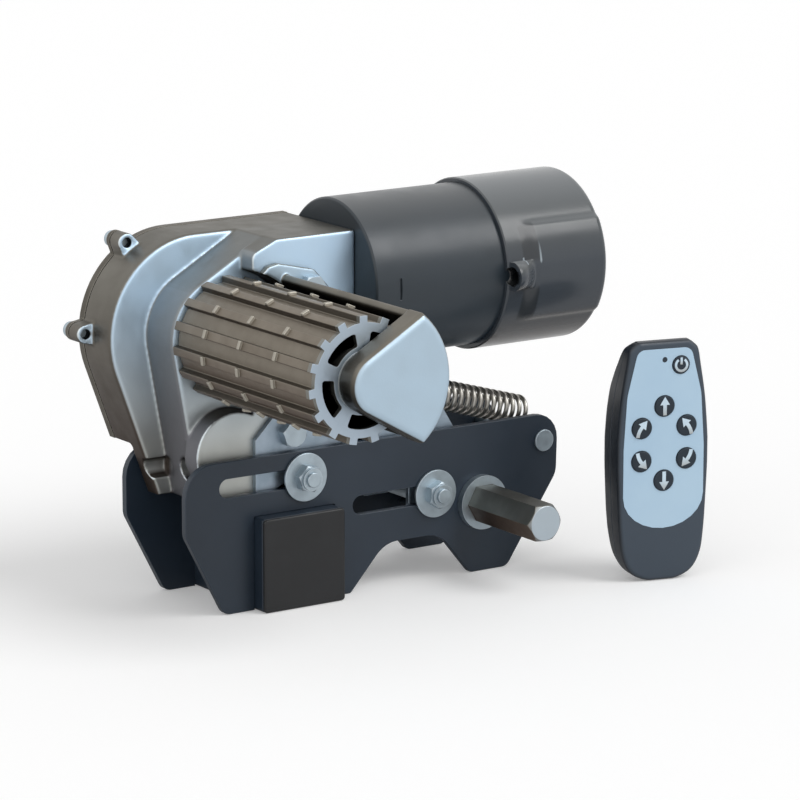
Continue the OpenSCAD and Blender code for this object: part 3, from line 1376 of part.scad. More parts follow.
module handset_front_shell() {
    color("#2a3442") handset_place() difference() {
        intersection() {
            union() {
                along_y(face_edge, split_y) hand_2d(0);
                hull() {
                    along_y(face_edge, face_edge + 0.05) hand_2d(0);
                    along_y(0, 0.05) hand_2d(face_edge);
                }
            }
            hand_side(0);
        }
        intersection() {
            along_y(hand_wall, split_y + over) hand_2d(hand_wall + face_edge / 2);
            hand_side(hand_wall);
        }
        along_y(-over, panel_t / 2) panel_2d();
        for (b = buttons) rod_y(b[1], b[2], b[3] + button_fit, -over, hand_wall + over);
        rod_y(0, lamp_z, lamp_r + run_fit, -over, hand_wall + over);
    }
}
module handset_back_shell() {
    color("#222b38") handset_place() difference() {
        intersection() {
            union() {
                along_y(split_y, hand_t - back_edge) hand_2d(0);
                hull() {
                    along_y(hand_t - back_edge - 0.05, hand_t - back_edge) hand_2d(0);
                    along_y(hand_t - 0.05, hand_t) hand_2d(back_edge);
                }
            }
            hand_side(0);
        }
        intersection() {
            along_y(split_y - over, hand_t - hand_wall) hand_2d(hand_wall + back_edge / 2);
            hand_side(hand_wall);
        }
    }
}
module handset_face_panel() {
    color("#b5cfe5") handset_place() difference() {
        along_y(-panel_t / 2, panel_t / 2) panel_2d();
        for (b = buttons) rod_y(b[1], b[2], b[3] + button_fit, -over, over);
        rod_y(0, lamp_z, lamp_r + run_fit, -over, over);
    }
}
button_proud = 1.1;
button_flange = 0.9;
module button(i) {
    b = buttons[i];
    color("#1c2430") handset_place() {
        rod_y(b[1], b[2], b[3], -button_proud, hand_wall + 0.2);
        rod_y(b[1], b[2], b[3] + button_flange, hand_wall + 0.1, hand_wall + 1.1);
    }
}
board_y = hand_wall + 1.1 + button_travel + 1.4;
board_t = 1.6;
board_low = 22;
board_high = hand_h - 8;
module handset_board() {
    color("#2f6b45") handset_place() {
        intersection() {
            translate([-half_w, board_y, board_low]) cube([hand_w, board_t, board_high - board_low]);
            along_y(board_y, board_y + board_t) hand_2d(hand_wall + face_edge / 2 + 0.4);
        }
        for (b = buttons) rod_y(b[1], b[2], 2.4, board_y - 1.2, board_y + 0.1);
    }
}
battery_r = 5.25;
battery_len = 44.5;
battery_low = 38;
module handset_battery() {
    color("#8c9298") handset_place()
        for (s = [-1, 1])
            translate([s * (battery_r + 0.3), hand_t - hand_wall - battery_r - 0.3, battery_low])
                cylinder(r = battery_r, h = battery_len);
}
module handset_lamp() {
    color("#27303a") handset_place() rod_y(0, lamp_z, lamp_r, -panel_t / 2 - 0.1, board_y);
}

near_side_plate();
far_side_plate();
cross_tube();
tube_end_cap();
spring_post();
gearbox_housing();
gearbox_cover();
cap_screws();
near_carriage_plate();
far_carriage_plate();
hex_bolts();
countersunk_screws();
guide_bolts();
guide_spacer();
slide_bushes();
guide_washers();
lock_nuts();
rack_bar();
roller_bracket();
roller_bearings();
gear_bearings();
shaft_seal();
motor_can();
motor_end_cover();
motor_magnets();
brush_plate();
carbon_brushes();
spring_stud();
return_spring();
roller_sleeve();
roller_end_disc();
roller_back_web();
output_shaft();
output_gear();
layshaft();
worm_wheel();
layshaft_pinion();
armature_shaft();
worm();
armature_core();
armature_winding();
commutator();
drive_hex_bar();
drive_bushes();
drive_pinion();
drive_clips();
handset_front_shell();
handset_back_shell();
handset_face_panel();
handset_board();
handset_battery();
handset_lamp();
button(0);  // button_power
button(1);  // button_forward
button(2);  // button_reverse
button(3);  // button_forward_left
button(4);  // button_forward_right
button(5);  // button_reverse_left
button(6);  // button_reverse_right
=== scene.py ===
# %% [markdown]
# # A caravan motor mover and its handset
# This lesson dresses a packed CAD model. The model gives every piece's place and size, and this
# script gives each piece its real edges and its real finish. Run it from top to bottom.
# Everything is in metres and in the frame of the CAD model: +X runs along the motor, -Y points
# out along the drive roller, and +Z is up.

# %% Load the frame
import json
import math

import bmesh
import bpy
import numpy as np
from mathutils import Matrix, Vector


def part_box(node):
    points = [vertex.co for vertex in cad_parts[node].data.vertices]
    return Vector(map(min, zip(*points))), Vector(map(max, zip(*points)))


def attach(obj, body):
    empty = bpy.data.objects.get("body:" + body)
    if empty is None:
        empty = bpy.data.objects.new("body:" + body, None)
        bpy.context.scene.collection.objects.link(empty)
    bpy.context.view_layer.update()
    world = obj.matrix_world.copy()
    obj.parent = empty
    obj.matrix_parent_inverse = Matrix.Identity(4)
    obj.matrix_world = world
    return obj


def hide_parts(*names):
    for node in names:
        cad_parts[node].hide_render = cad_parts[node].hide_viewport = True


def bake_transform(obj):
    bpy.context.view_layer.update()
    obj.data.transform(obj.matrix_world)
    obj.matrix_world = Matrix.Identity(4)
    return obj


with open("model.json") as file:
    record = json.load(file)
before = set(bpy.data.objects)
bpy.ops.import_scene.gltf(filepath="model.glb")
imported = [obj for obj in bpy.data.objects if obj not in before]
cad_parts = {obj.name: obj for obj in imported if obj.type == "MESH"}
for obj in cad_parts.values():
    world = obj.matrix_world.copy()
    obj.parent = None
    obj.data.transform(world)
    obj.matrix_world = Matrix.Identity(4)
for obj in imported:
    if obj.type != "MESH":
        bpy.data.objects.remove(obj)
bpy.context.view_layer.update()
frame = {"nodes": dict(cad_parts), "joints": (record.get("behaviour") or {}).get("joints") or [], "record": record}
record = frame["record"]
MM = 0.001
slot_of = {row["node"]: row["material_slot"] for row in record["subparts"]}
body_of = {node: body for body, nodes in record["behaviour"]["bodies"].items() for node in nodes}


# %% [markdown]
# The camera comes first. The photo was taken with a long lens from the front left, a little above
# the mover, so parallel edges hardly converge. A long lens far away gives the same look.

# %% Camera
CAMERA_AT = Vector((-1.2033, -1.868, 0.603))
CAMERA_TO = Vector((0.06639, 0.0, 0.10086))
LENS_MM = 197.1
eye = bpy.data.cameras.new("view")
eye.lens = LENS_MM
eye.sensor_width = 36
camera = bpy.data.objects.new("view", eye)
camera.location = CAMERA_AT
camera.rotation_euler = (CAMERA_TO - CAMERA_AT).to_track_quat("-Z", "Y").to_euler()
bpy.context.scene.collection.objects.link(camera)
bpy.context.scene.camera = camera
print("camera is", round((CAMERA_TO - CAMERA_AT).length, 3), "m from its target")


# %% [markdown]
# Colours are written as sRGB hex values, the way a paint chart gives them. Blender's shaders work
# in linear light, so one function turns the one into the other.
# One more function adds a shader node. Its keyword arguments are either settings of the node or
# its inputs, and an input takes a plain value, a hex colour or the output of another node.

# %% Two helpers for materials
def linear(colour):
    """An sRGB hex colour as linear red, green, blue and alpha."""
    parts = [int(colour[i:i + 2], 16) / 255 for i in (1, 3, 5)]
    return [((c + 0.055) / 1.055) ** 2.4 if c > 0.04045 else c / 12.92 for c in parts] + [1.0]


def add(tree, kind, **given):
    """Add one shader node. A name like in1 picks an input by its number."""
    made = tree.nodes.new("ShaderNode" + kind)
    for name, value in given.items():
        if name in made.bl_rna.properties:
            setattr(made, name, value)
            continue
        numbered = name[:2] == "in" and name[2:].isdigit()
        socket = made.inputs[int(name[2:]) if numbered else name.replace("_", " ")]
        if isinstance(value, bpy.types.NodeSocket):
            tree.links.new(value, socket)
        else:
            socket.default_value = linear(value) if isinstance(value, str) else value
    return made


print("steel grey in linear light:", [round(c, 3) for c in linear("#9aa0a5")])


# %% [markdown]
# Every finish here starts from two close colours that drift into each other in soft clouds, because
# no real surface has one even colour. A finish can then be tinted: where a value runs from low to
# high, where a face looks in some direction, or along its edges. Last it gets a grain, which is a
# fine relief. Sizes are in millimetres, and a noise texture's scale is one over its size.
# The tints follow the object itself and not the camera, so they stay in place in every view.

# %% A finish under construction
EDGE_FROM, EDGE_FULL = 0.995, 0.86  # How alike the rounded and the flat normal are


class Finish:
    """A material being made: its tree, its shader, and its colour and relief so far."""

    def __init__(self, name, light, dark, metallic, roughness, cloud_mm=40.0):
        self.material = bpy.data.materials.new(name)
        self.material.use_nodes = True
        self.tree = self.material.node_tree
        self.tree.nodes.clear()
        self.shader = add(self.tree, "BsdfPrincipled", Metallic=metallic)
        add(self.tree, "OutputMaterial", Surface=self.shader.outputs[0])
        place = add(self.tree, "TexCoord").outputs
        self.coords, self.facing = place["Object"], place["Normal"]
        cloud = add(self.tree, "TexNoise", Vector=self.coords, Scale=1 / (cloud_mm * MM),
                    Detail=4.0)
        self.colour = self.between(cloud.outputs[0], 0.35, 0.65, dark, light)
        patch = add(self.tree, "TexNoise", Vector=self.coords, Scale=2.5 / (cloud_mm * MM),
                    Detail=3.0)
        self.rough = add(self.tree, "MapRange", Value=patch.outputs[0], in1=0.3, in2=0.7,
                         in3=roughness * 0.88, in4=roughness * 1.14).outputs[0]
        self.relief = None

    def between(self, value, low, high, first, second, amount=1.0):
        """A colour that goes from a first to a second while a value goes from low to high."""
        share = add(self.tree, "MapRange", Value=value, in1=low, in2=high, in4=amount)
        return add(self.tree, "Mix", data_type="RGBA", in0=share.outputs[0],
                   in6=first, in7=second).outputs[2]

    def tint(self, value, low, high, colour, amount=1.0):
        """Mix a colour in while a value goes from low to high."""
        self.colour = self.between(value, low, high, self.colour, colour, amount)

    def looking(self, direction):
        """How far the surface looks in a direction of its own object, from -1 to 1."""
        return add(self.tree, "VectorMath", operation="DOT_PRODUCT", in0=self.facing,
                   in1=Vector(direction).normalized()).outputs["Value"]

    def faces(self, direction, low, high, colour, amount=1.0):
        """Tint the faces that look in a direction."""
        self.tint(self.looking(direction), low, high, colour, amount)

    def edges(self, width_mm, colour, amount):
        """Tint the outer and inner edges, up to a width."""
        rounded = add(self.tree, "Bevel", samples=4, Radius=width_mm * MM).outputs[0]
        flat = add(self.tree, "NewGeometry").outputs["Normal"]
        alike = add(self.tree, "VectorMath", operation="DOT_PRODUCT", in0=rounded, in1=flat)
        self.tint(alike.outputs["Value"], EDGE_FROM, EDGE_FULL, colour, amount)

    def grain(self, size_mm, depth_mm, stretch=(1, 1, 1)):
        """A fine relief. A small share in stretch draws it out into lines that way."""
        spot = add(self.tree, "Mapping", Vector=self.coords, Scale=stretch).outputs[0]
        fine = add(self.tree, "TexNoise", Vector=spot, Scale=1 / (size_mm * MM), Detail=3.0)
        bump = add(self.tree, "Bump", Height=fine.outputs[0], Distance=depth_mm * MM, Strength=1.0)
        if self.relief is not None:
            self.tree.links.new(self.relief, bump.inputs["Normal"])
        self.relief = bump.outputs[0]

    def done(self, **given):
        """Link what was made, set any plain input and return the material."""
        self.tree.links.new(self.colour, self.shader.inputs["Base Color"])
        self.tree.links.new(self.rough, self.shader.inputs["Roughness"])
        if self.relief is not None:
            self.tree.links.new(self.relief, self.shader.inputs["Normal"])
        for name, value in given.items():
            self.shader.inputs[name.replace("_", " ")].default_value = value
        return self.material


materials = {}
print("a finish can be given", [name for name in vars(Finish) if name[0] != "_"])


# %% [markdown]
# Powder coat: the side plates and the cross tube are steel, coated with a dark blue-grey powder
# that was baked on. The baked skin is satin and has the faint ripple of orange peel. At a cut edge
# the skin is thinner, and the lighter tint there is also a painted highlight.

# %% Powder-coated steel
def powder_coat():
    made = Finish("powder_coated_steel", "#24303d", "#1f2a36", 0.0, 0.42, cloud_mm=55)
    # Lighter edges: a thinner skin, and a painted highlight as well
    made.edges(0.8, "#46535f", 0.5)
    made.grain(1.4, 0.02)
    made.grain(0.35, 0.006)
    return made.done(IOR=1.5)


materials["plate_powder_coat"] = powder_coat()
print("powder coat:", len(materials["plate_powder_coat"].node_tree.nodes), "nodes")


# %% [markdown]
# Cast aluminium: the gearbox housing is a die casting, with the olive-brown skin that the mould
# leaves. The faces that look out along the roller get a pale blue painted reflection, the tops a
# grey-brown one and the faces that look down a painted shade, and painted shade makes all of them
# darker and greyer towards the ground. The step nearer the roller is slate grey, painted lighter
# towards its top. So the colour follows the direction that a face looks in, its height and its
# depth, all measured on the casting itself. Its left edges get a painted highlight, and hollows a
# painted shade. The attributes convex and hollow are measured on the mesh further down.

# %% Cast aluminium with painted light
def highlight_left_edges(made, colour):
    """Paint a highlight on the convex edges that lie between a front face and a left flank."""
    convex_share = add(made.tree, "Attribute", attribute_name="convex").outputs["Fac"]
    left = add(made.tree, "MapRange", Value=made.looking((-0.75, -0.6, 0.25)), in1=0.76, in2=0.94)
    both = add(made.tree, "Math", operation="MULTIPLY", in0=convex_share, in1=left.outputs[0])
    made.tint(both.outputs[0], 0.4, 0.95, colour, 0.65)


LUG_SCREWS_MM = [(-62.3, 189), (-87.8, 143.4)]
SCREW_HOLE_R, SCREW_RIM_R = 2.5 * MM, 2.9 * MM
# Heights of the painted shade towards the ground: full at the lower one, none at the upper one
SHADED_Z, LIT_Z = 85 * MM, 165 * MM
# Heights over which the slate step is painted lighter towards its top, as light
SLATE_LOW_Z, SLATE_HIGH_Z = 100 * MM, 175 * MM
STEP_NEAR_Y, STEP_FAR_Y = 43 * MM, 46 * MM


def housing_casting():
    """The screw holes in the two lugs are deep, and they are painted black as shade."""
    made = Finish("cast_aluminium_painted_light", "#7a7770", "#706d66", 1.0, 0.5, cloud_mm=30)
    place = add(made.tree, "SeparateXYZ", Vector=made.coords).outputs
    # The step nearer the roller: slate grey, painted lighter towards its top
    slate = made.between(place["Z"], SLATE_LOW_Z, SLATE_HIGH_Z, "#74757a", "#8c9295")
    # Painted shade: darker towards the ground
    made.tint(place["Z"], LIT_Z, SHADED_Z, "#4b403a", 0.9)
    made.tint(place["Y"], STEP_FAR_Y, STEP_NEAR_Y, slate, 0.9)
    # A grey-brown painted reflection on the tops, and painted shade on the faces that look down
    made.faces((0, 0, 1), 0.75, 0.95, "#696761", 0.9)
    made.faces((0, 0, -1), 0.2, 0.9, "#2b2724", 0.8)
    # A pale blue painted reflection on the faces that look along the roller, greyer low down as painted shade
    lit_front = made.between(place["Z"], SHADED_Z, LIT_Z, "#c1c3bf", "#c6def2")
    made.faces((0, -1, 0), 0.62, 0.93, lit_front)
    # A painted highlight on the left edges
    highlight_left_edges(made, "#eef8fc")
    # Painted shade in the hollows
    hollow = add(made.tree, "Attribute", attribute_name="hollow").outputs["Fac"]
    made.tint(hollow, 0.3, 1.0, "#4a4a49", 0.35)
    # The lug screw holes painted black as shade
    for x, z in LUG_SCREWS_MM:
        arm = add(made.tree, "VectorMath", operation="MULTIPLY_ADD", in0=made.coords, in1=(1, 0, 1),
                  in2=(-x * MM, 0, -z * MM)).outputs[0]
        radius = add(made.tree, "VectorMath", operation="LENGTH", in0=arm).outputs["Value"]
        made.tint(radius, SCREW_RIM_R, SCREW_HOLE_R, "#14181c")
    made.grain(0.9, 0.04)
    made.grain(0.4, 0.016)
    return made.done()


def bracket_casting():
    """The bracket's arm is olive on top, with black painted shade where it looks down."""
    made = Finish("bracket_aluminium_painted_light", "#7b776e", "#716d65", 1.0, 0.46, cloud_mm=25)
    # Black painted shade where the arm looks down
    made.faces((-0.6, 0, -0.8), 0.0, 0.8, "#2a2926", 0.9)
    # A pale blue painted reflection on the faces that look along the roller
    made.faces((0, -1, 0), 0.62, 0.93, "#b7cbda")
    # A painted highlight on the left edges
    highlight_left_edges(made, "#e6f1f7")
    made.grain(0.9, 0.03)
    return made.done()


materials["cast_aluminium"] = housing_casting()
materials["bracket_casting"] = bracket_casting()
print("castings:", len(materials), "finishes so far")


# %% [markdown]
# The rear cover and the web in the roller are castings too, without the housing's painted
# reflections. The toothed disc at the roller's end was faced on a lathe, so its face is flat and
# pale, and its blue cast is a painted reflection. The roller sleeve is an extrusion that was
# tumbled: dull brown-grey all over, with painted shade down the flanks of its ribs and on the faces
# that look down. Its small cross bars are painted a little paler, as a highlight. The distance from
# the roller's axis tells the shader which is which, and the inside of the tube is left black.

# %% Dull castings, the faced disc and the ribbed extrusion
ROLLER_LOW, ROLLER_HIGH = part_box("roller_sleeve")
roller_axis = Vector(((ROLLER_LOW.x + ROLLER_HIGH.x) / 2, 0, (ROLLER_LOW.z + ROLLER_HIGH.z) / 2))
roller_r = (ROLLER_HIGH.z - ROLLER_LOW.z) / 2
NUB_H = 1.5 * MM
RIB_H = 3.4 * MM
rib_r = roller_r - NUB_H
# Where three tones start and are full: below the tops of the ribs, below the floors of the grooves,
# and above the tops of the ribs
GROOVE_FROM, GROOVE_FULL = 1 * MM, 2.6 * MM
INSIDE_FROM, INSIDE_FULL = 1.5 * MM, 2.5 * MM
CROSS_BAR_FROM, CROSS_BAR_FULL = 0.15 * MM, 0.6 * MM


def dull_casting():
    made = Finish("as_cast_aluminium", "#6f6b64", "#5d5951", 1.0, 0.55, cloud_mm=25)
    made.edges(1.2, "#b9b5ab", 0.5)
    made.grain(0.9, 0.06)
    return made.done()


def faced_disc():
    made = Finish("faced_aluminium_disc", "#8a8a85", "#807f7a", 1.0, 0.45, cloud_mm=12)
    # The faced front is paler, and its blue cast is a painted reflection
    made.faces((0, -1, 0), 0.7, 0.95, "#b3c1ce")
    made.grain(0.8, 0.012)
    return made.done()


def roller_alloy():
    made = Finish("tumbled_extruded_aluminium", "#857d72", "#7a7267", 1.0, 0.48, cloud_mm=18)
    tree = made.tree
    arm = add(tree, "VectorMath", operation="MULTIPLY_ADD", in0=made.coords, in1=(1, 0, 1),
              in2=(-roller_axis.x, 0, -roller_axis.z)).outputs[0]
    radius = add(tree, "VectorMath", operation="LENGTH", in0=arm).outputs["Value"]
    outward = add(tree, "VectorMath", operation="NORMALIZE", in0=arm).outputs[0]
    flank = add(tree, "VectorMath", operation="DOT_PRODUCT", in0=outward, in1=made.facing)
    made.tint(radius, rib_r - GROOVE_FROM, rib_r - GROOVE_FULL, "#80796e", 0.8)
    # Brown painted shade on the faces that look down, as the roller stands at rest
    made.faces((-0.2, 0, -1), 0.1, 0.95, "#5a4840", 0.85)
    # Painted shade down the flanks of the ribs
    made.tint(flank.outputs["Value"], 0.8, 0.45, "#3a3833", 0.55)
    made.tint(radius, rib_r - RIB_H - INSIDE_FROM, rib_r - RIB_H - INSIDE_FULL, "#121110")
    # The cross bars painted a little paler, as a highlight
    made.tint(radius, rib_r + CROSS_BAR_FROM, rib_r + CROSS_BAR_FULL, "#a8a398")
    made.grain(0.7, 0.025, stretch=(1, 0.06, 1))
    made.grain(0.8, 0.03)
    return made.done()


materials["cover_casting"] = dull_casting()
materials["faced_disc"] = faced_disc()
materials["roller_alloy"] = roller_alloy()
print("the roller is", round(2 * roller_r / MM, 1), "mm across its cross bars")


# %% [markdown]
# Zinc plating: bolts, nuts, washers and the carriage plates. It is a thin bright coat on steel,
# cool in colour, with faint cloudy bands. Plates were rolled before they were plated, which leaves
# fine lines along them. Spring wire is drawn and stays shinier than any of them. The hexagon bar is
# bare drawn steel with brown painted shade on its lower sides, and a sawn, paler end whose blue cast
# is a painted reflection.

# %% Plated and drawn steel
def plated(name, light, dark, roughness, lines=None):
    made = Finish(name, light, dark, 1.0, roughness, cloud_mm=9)
    made.edges(0.4, "#e8eef2", 0.6)
    if lines:
        made.grain(0.4, 0.012, stretch=lines)
    made.grain(0.5, 0.008)
    return made.done()


def hex_bar_steel():
    made = Finish("drawn_steel_bar", "#82817b", "#75746e", 1.0, 0.44, cloud_mm=14)
    # Brown painted shade on the faces that look down
    made.faces((-0.5, 0, -0.8), 0.2, 0.9, "#5e4d42", 0.95)
    # The sawn end is paler, and its blue cast is a painted reflection
    made.faces((0, -1, 0), 0.6, 0.9, "#b6c1c9")
    made.edges(0.7, "#b9b2a5", 0.5)
    made.grain(0.6, 0.02, stretch=(1, 0.03, 1))
    return made.done()


materials["zinc_plate"] = plated("bright_zinc_plate", "#b4c1c9", "#a5b1b9", 0.46)
materials["zinc_sheet"] = plated(
    "zinc_plated_sheet", "#a6b4c1", "#95a4b1", 0.42, lines=(0.03, 1, 1))
materials["spring_steel"] = plated("drawn_spring_wire", "#b3b0aa", "#9c9993", 0.34)
materials["oiled_steel"] = plated(
    "machined_oiled_steel", "#949a9f", "#7f8589", 0.32, lines=(1, 0.04, 1))
materials["hex_bar_steel"] = hex_bar_steel()
materials["core_steel"] = plated(
    "stacked_laminations", "#74777a", "#5e6164", 0.45, lines=(1, 0.02, 0.02))
materials["battery_can"] = plated("wrapped_steel_can", "#8c9298", "#7b8187", 0.35)
print(len(materials), "finishes so far")


# %% [markdown]
# Paint, mouldings and rubber don't conduct, so they aren't metallic: their colour comes from
# pigment under a clear skin. The skin's roughness is what tells them apart: the handset has the
# fine sparkle of an eroded mould, and rubber is dull.

# %% Mouldings and rubber
def moulded(name, light, dark, roughness, grain_mm, depth_mm, edge=None, **given):
    made = Finish(name, light, dark, 0.0, roughness, cloud_mm=30)
    if edge:
        made.edges(0.6, edge, 0.5)
    made.grain(grain_mm, depth_mm)
    return made.done(**given)


materials["black_moulding"] = moulded(
    "grained_black_moulding", "#191a1c", "#131416", 0.48, 0.6, 0.02, edge="#2e3033", IOR=1.5)
materials["handset_face"] = moulded(
    "printed_face_film", "#b4cfe3", "#aecae0", 0.36, 0.7, 0.006, IOR=1.5)
materials["button_rubber"] = moulded(
    "moulded_silicone_rubber", "#222d38", "#1d2731", 0.55, 0.5, 0.012, IOR=1.43)
materials["nylon"] = moulded("natural_nylon", "#dcdad0", "#cfcdc2", 0.4, 0.7, 0.01, IOR=1.53)
materials["seal_rubber"] = moulded("nitrile_rubber", "#1f1f21", "#18181a", 0.6, 0.5, 0.02, IOR=1.52)
materials["brush_board"] = moulded(
    "pressed_resin_board", "#624f3c", "#523f2f", 0.5, 0.8, 0.02, IOR=1.55)
materials["carbon"] = moulded("pressed_carbon", "#2e2e30", "#252527", 0.55, 0.4, 0.02, IOR=1.5)
materials["circuit_board"] = moulded("solder_mask", "#31704a", "#2a6240", 0.3, 1.5, 0.01, IOR=1.5)
materials["lamp_lens"] = moulded(
    "smoked_clear_lens", "#27323d", "#202a34", 0.18, 1.0, 0.002, IOR=1.49)
print(len(materials), "finishes so far")


# %% [markdown]
# Some mouldings have more to them. The motor's can is painted and semi-gloss, with a painted
# highlight on its top and painted shade below. Its end cover is a glossy moulding that also has a
# painted highlight on top and painted shade below. The handset's shells are nearly black on the
# sides and greyer in front, where a painted highlight lies. The ink of the symbols was laid on thick
# at the top and thin at the bottom, which one gradient over each print's own box repeats.

# %% The can's paint and the mouldings, with painted light
def can_paint():
    made = Finish("semi_gloss_can_paint", "#29323a", "#252e35", 0.0, 0.34, cloud_mm=40)
    # A painted highlight on the top and painted shade on the bottom
    made.faces((-0.1, -0.1, 1), 0.7, 1.0, "#55585a", 0.85)
    made.faces((0, 0, -1), 0.1, 0.9, "#22303c", 0.7)
    made.edges(0.6, "#4d565e", 0.5)
    made.grain(1.6, 0.012)
    return made.done(IOR=1.5)


def cover_moulding():
    """The attributes ramp, ridge and bore mark where the ramp's painted shade, the painted highlight along its
    edge and the bore's black painted shade go.
    """
    made = Finish("glossy_grey_moulding", "#3f454c", "#3b4148", 0.0, 0.2, cloud_mm=40)
    # A painted highlight on the top and painted shade on the bottom
    made.faces((0, 0, 1), 0.1, 0.6, "#474b4c", 0.9)
    made.faces((0, -0.1, 1), 0.6, 1.0, "#73777a", 0.9)
    made.faces((0, 0, -1), 0.45, 0.9, "#403b37", 0.9)
    # Painted shade on the pad's ramp
    ramp = add(made.tree, "Attribute", attribute_name="ramp").outputs["Fac"]
    made.tint(ramp, 0.1, 0.9, "#2d3033", 0.75)
    # A painted highlight along the ramp's edge
    ridge = add(made.tree, "Attribute", attribute_name="ridge").outputs["Fac"]
    made.tint(ridge, 0.2, 1.0, "#c3d0d8", 0.8)
    # Black painted shade in the inlet's bore
    bore = add(made.tree, "Attribute", attribute_name="bore").outputs["Fac"]
    made.tint(bore, 0.3, 0.8, "#0d0f11", 0.95)
    made.grain(2.4, 0.01)
    return made.done(IOR=1.5)


def handset_shell():
    made = Finish("eroded_handset_moulding", "#1d242d", "#191f27", 0.0, 0.42, cloud_mm=30)
    # A painted highlight on the front faces; the sides keep the nearly black base
    made.faces(press_way * -1, 0.55, 0.97, "#38434f")
    made.grain(0.55, 0.018)
    return made.done(IOR=1.5)


def symbol_ink():
    made = Finish("printed_symbol_ink", "#cfe2ef", "#c4d9e8", 0.0, 0.45, cloud_mm=6)
    inside = add(made.tree, "TexCoord").outputs["Generated"]
    up = add(made.tree, "SeparateXYZ", Vector=inside).outputs["Z"]
    made.tint(up, 0.6, 0.0, "#a9acab", 0.9)
    made.grain(0.5, 0.005)
    return made.done(IOR=1.5)


press_way = Vector(next(j["axis"] for j in frame["joints"] if j["name"] == "button_power_press"))
materials["motor_can_paint"] = can_paint()
materials["motor_cover_moulding"] = cover_moulding()
materials["handset_shell"] = handset_shell()
materials["symbol_print"] = symbol_ink()
print("the handset's buttons press towards", [round(v, 2) for v in press_way])


# %% [markdown]
# The pieces inside have metals of their own: a bronze worm wheel, copper windings and two magnets
# of sintered ferrite. Nobody sees them until the cover is off, but they are finished all the same.

# %% Metals inside the gearbox and the motor
materials["wheel_bronze"] = plated(
    "machined_bronze", "#b9954f", "#a27f3e", 0.33, lines=(1, 0.05, 1))
materials["copper"] = plated("enamelled_copper", "#bb6a35", "#a2572a", 0.3, lines=(0.1, 1, 1))
materials["ferrite"] = moulded("sintered_ferrite", "#414245", "#353639", 0.5, 0.5, 0.03, IOR=1.5)
print(len(materials), "finishes")


# %% [markdown]
# Pieces made here stand for CAD nodes. This cell turns a mesh into such a piece: it rides on the
# body that the CAD node belongs to, hides that node, and takes the node's finish. A second helper
# welds a CAD mesh into one skin, because a packed mesh comes with a split along every edge.

# %% Pieces that stand for CAD nodes
WELD_GAP = 2e-6
FLAT_TURN = math.radians(0.6)


def piece_from(shape, name, node, finish=None, hides=True):
    """Make an object from a bmesh or a mesh, in the place of a CAD node."""
    if isinstance(shape, bmesh.types.BMesh):
        mesh = bpy.data.meshes.new(name)
        shape.to_mesh(mesh)
        shape.free()
    else:
        mesh = shape
        mesh.name = name
    mesh.materials.clear()
    mesh.materials.append(materials[finish or slot_of[node]])
    piece = bpy.data.objects.new(name, mesh)
    bpy.context.scene.collection.objects.link(piece)
    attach(piece, body_of[node])
    if hides:
        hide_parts(node)
    return piece


def welded(node):
    """The CAD node's mesh as one skin, with flat areas as single faces."""
    shape = bmesh.new()
    shape.from_mesh(frame["nodes"][node].data)
    bmesh.ops.remove_doubles(shape, verts=shape.verts, dist=WELD_GAP)
    bmesh.ops.dissolve_limit(shape, angle_limit=FLAT_TURN, verts=shape.verts,
                             edges=shape.edges, delimit={"NORMAL"})
    return shape


def applied(shape, steps):
    """Run modifiers on a bmesh and return the resulting mesh. Each step is a kind and settings."""
    mesh = bpy.data.meshes.new("work")
    shape.to_mesh(mesh)
    shape.free()
    work = bpy.data.objects.new("work", mesh)
    bpy.context.scene.collection.objects.link(work)
    for kind, settings in steps:
        step = work.modifiers.new(kind, kind)
        for name, value in settings.items():
            setattr(step, name, value)
    graph = bpy.context.evaluated_depsgraph_get()
    result = bpy.data.meshes.new_from_object(work.evaluated_get(graph), depsgraph=graph)
    bpy.data.objects.remove(work)
    bpy.data.meshes.remove(mesh)
    return result


print("nodes on the carriage:", len([n for n in body_of if body_of[n] == "carriage"]))


# %% [markdown]
# A machined or pressed piece has small broken edges. A CAD edge is perfectly sharp, and a sharp
# edge never catches the light, so it gives a model away. The Bevel modifier rounds each edge that
# turns by more than a set angle. Weighted normals then keep the flat faces flat in the shading.
# They only show on faces that are set smooth, so that comes before the modifiers.

# %% Broken edges on machined pieces
EDGE_STEPS = 2
EDGE_TURN = math.radians(28)


def broken_edges(node, width_mm, finish=None):
    bevel = dict(width=width_mm * MM, segments=EDGE_STEPS, limit_method="ANGLE",
                 angle_limit=EDGE_TURN, use_clamp_overlap=True, miter_outer="MITER_ARC")
    shape = welded(node)
    for face in shape.faces:
        face.smooth = True
    mesh = applied(shape, [("BEVEL", bevel), ("WEIGHTED_NORMAL", dict(keep_sharp=True))])
    return piece_from(mesh, node + "_finished", node, finish)


machined = {
    "near_side_plate": 0.5, "far_side_plate": 0.5, "cross_tube": 0.8, "tube_end_cap": 1.0,
    "spring_post": 0.5, "gearbox_cover": 0.8, "guide_bolts": 0.5, "guide_washers": 0.35,
    "lock_nuts": 0.3, "hex_bolts": 0.35, "cap_screws": 0.3, "spring_stud": 0.4,
    "roller_sleeve": 0.45, "drive_hex_bar": 0.5, "drive_bushes": 0.4,
    "drive_clips": 0.2, "handset_face_panel": 0.15, "rack_bar": 0.3, "output_shaft": 0.5}
for node, width in machined.items():
    broken_edges(node, width)
for node in ("near_carriage_plate", "far_carriage_plate"):
    broken_edges(node, 0.5, finish="zinc_sheet")
broken_edges("roller_end_disc", 0.4, finish="faced_disc")
print(len(machined) + 3, "pieces got broken edges")


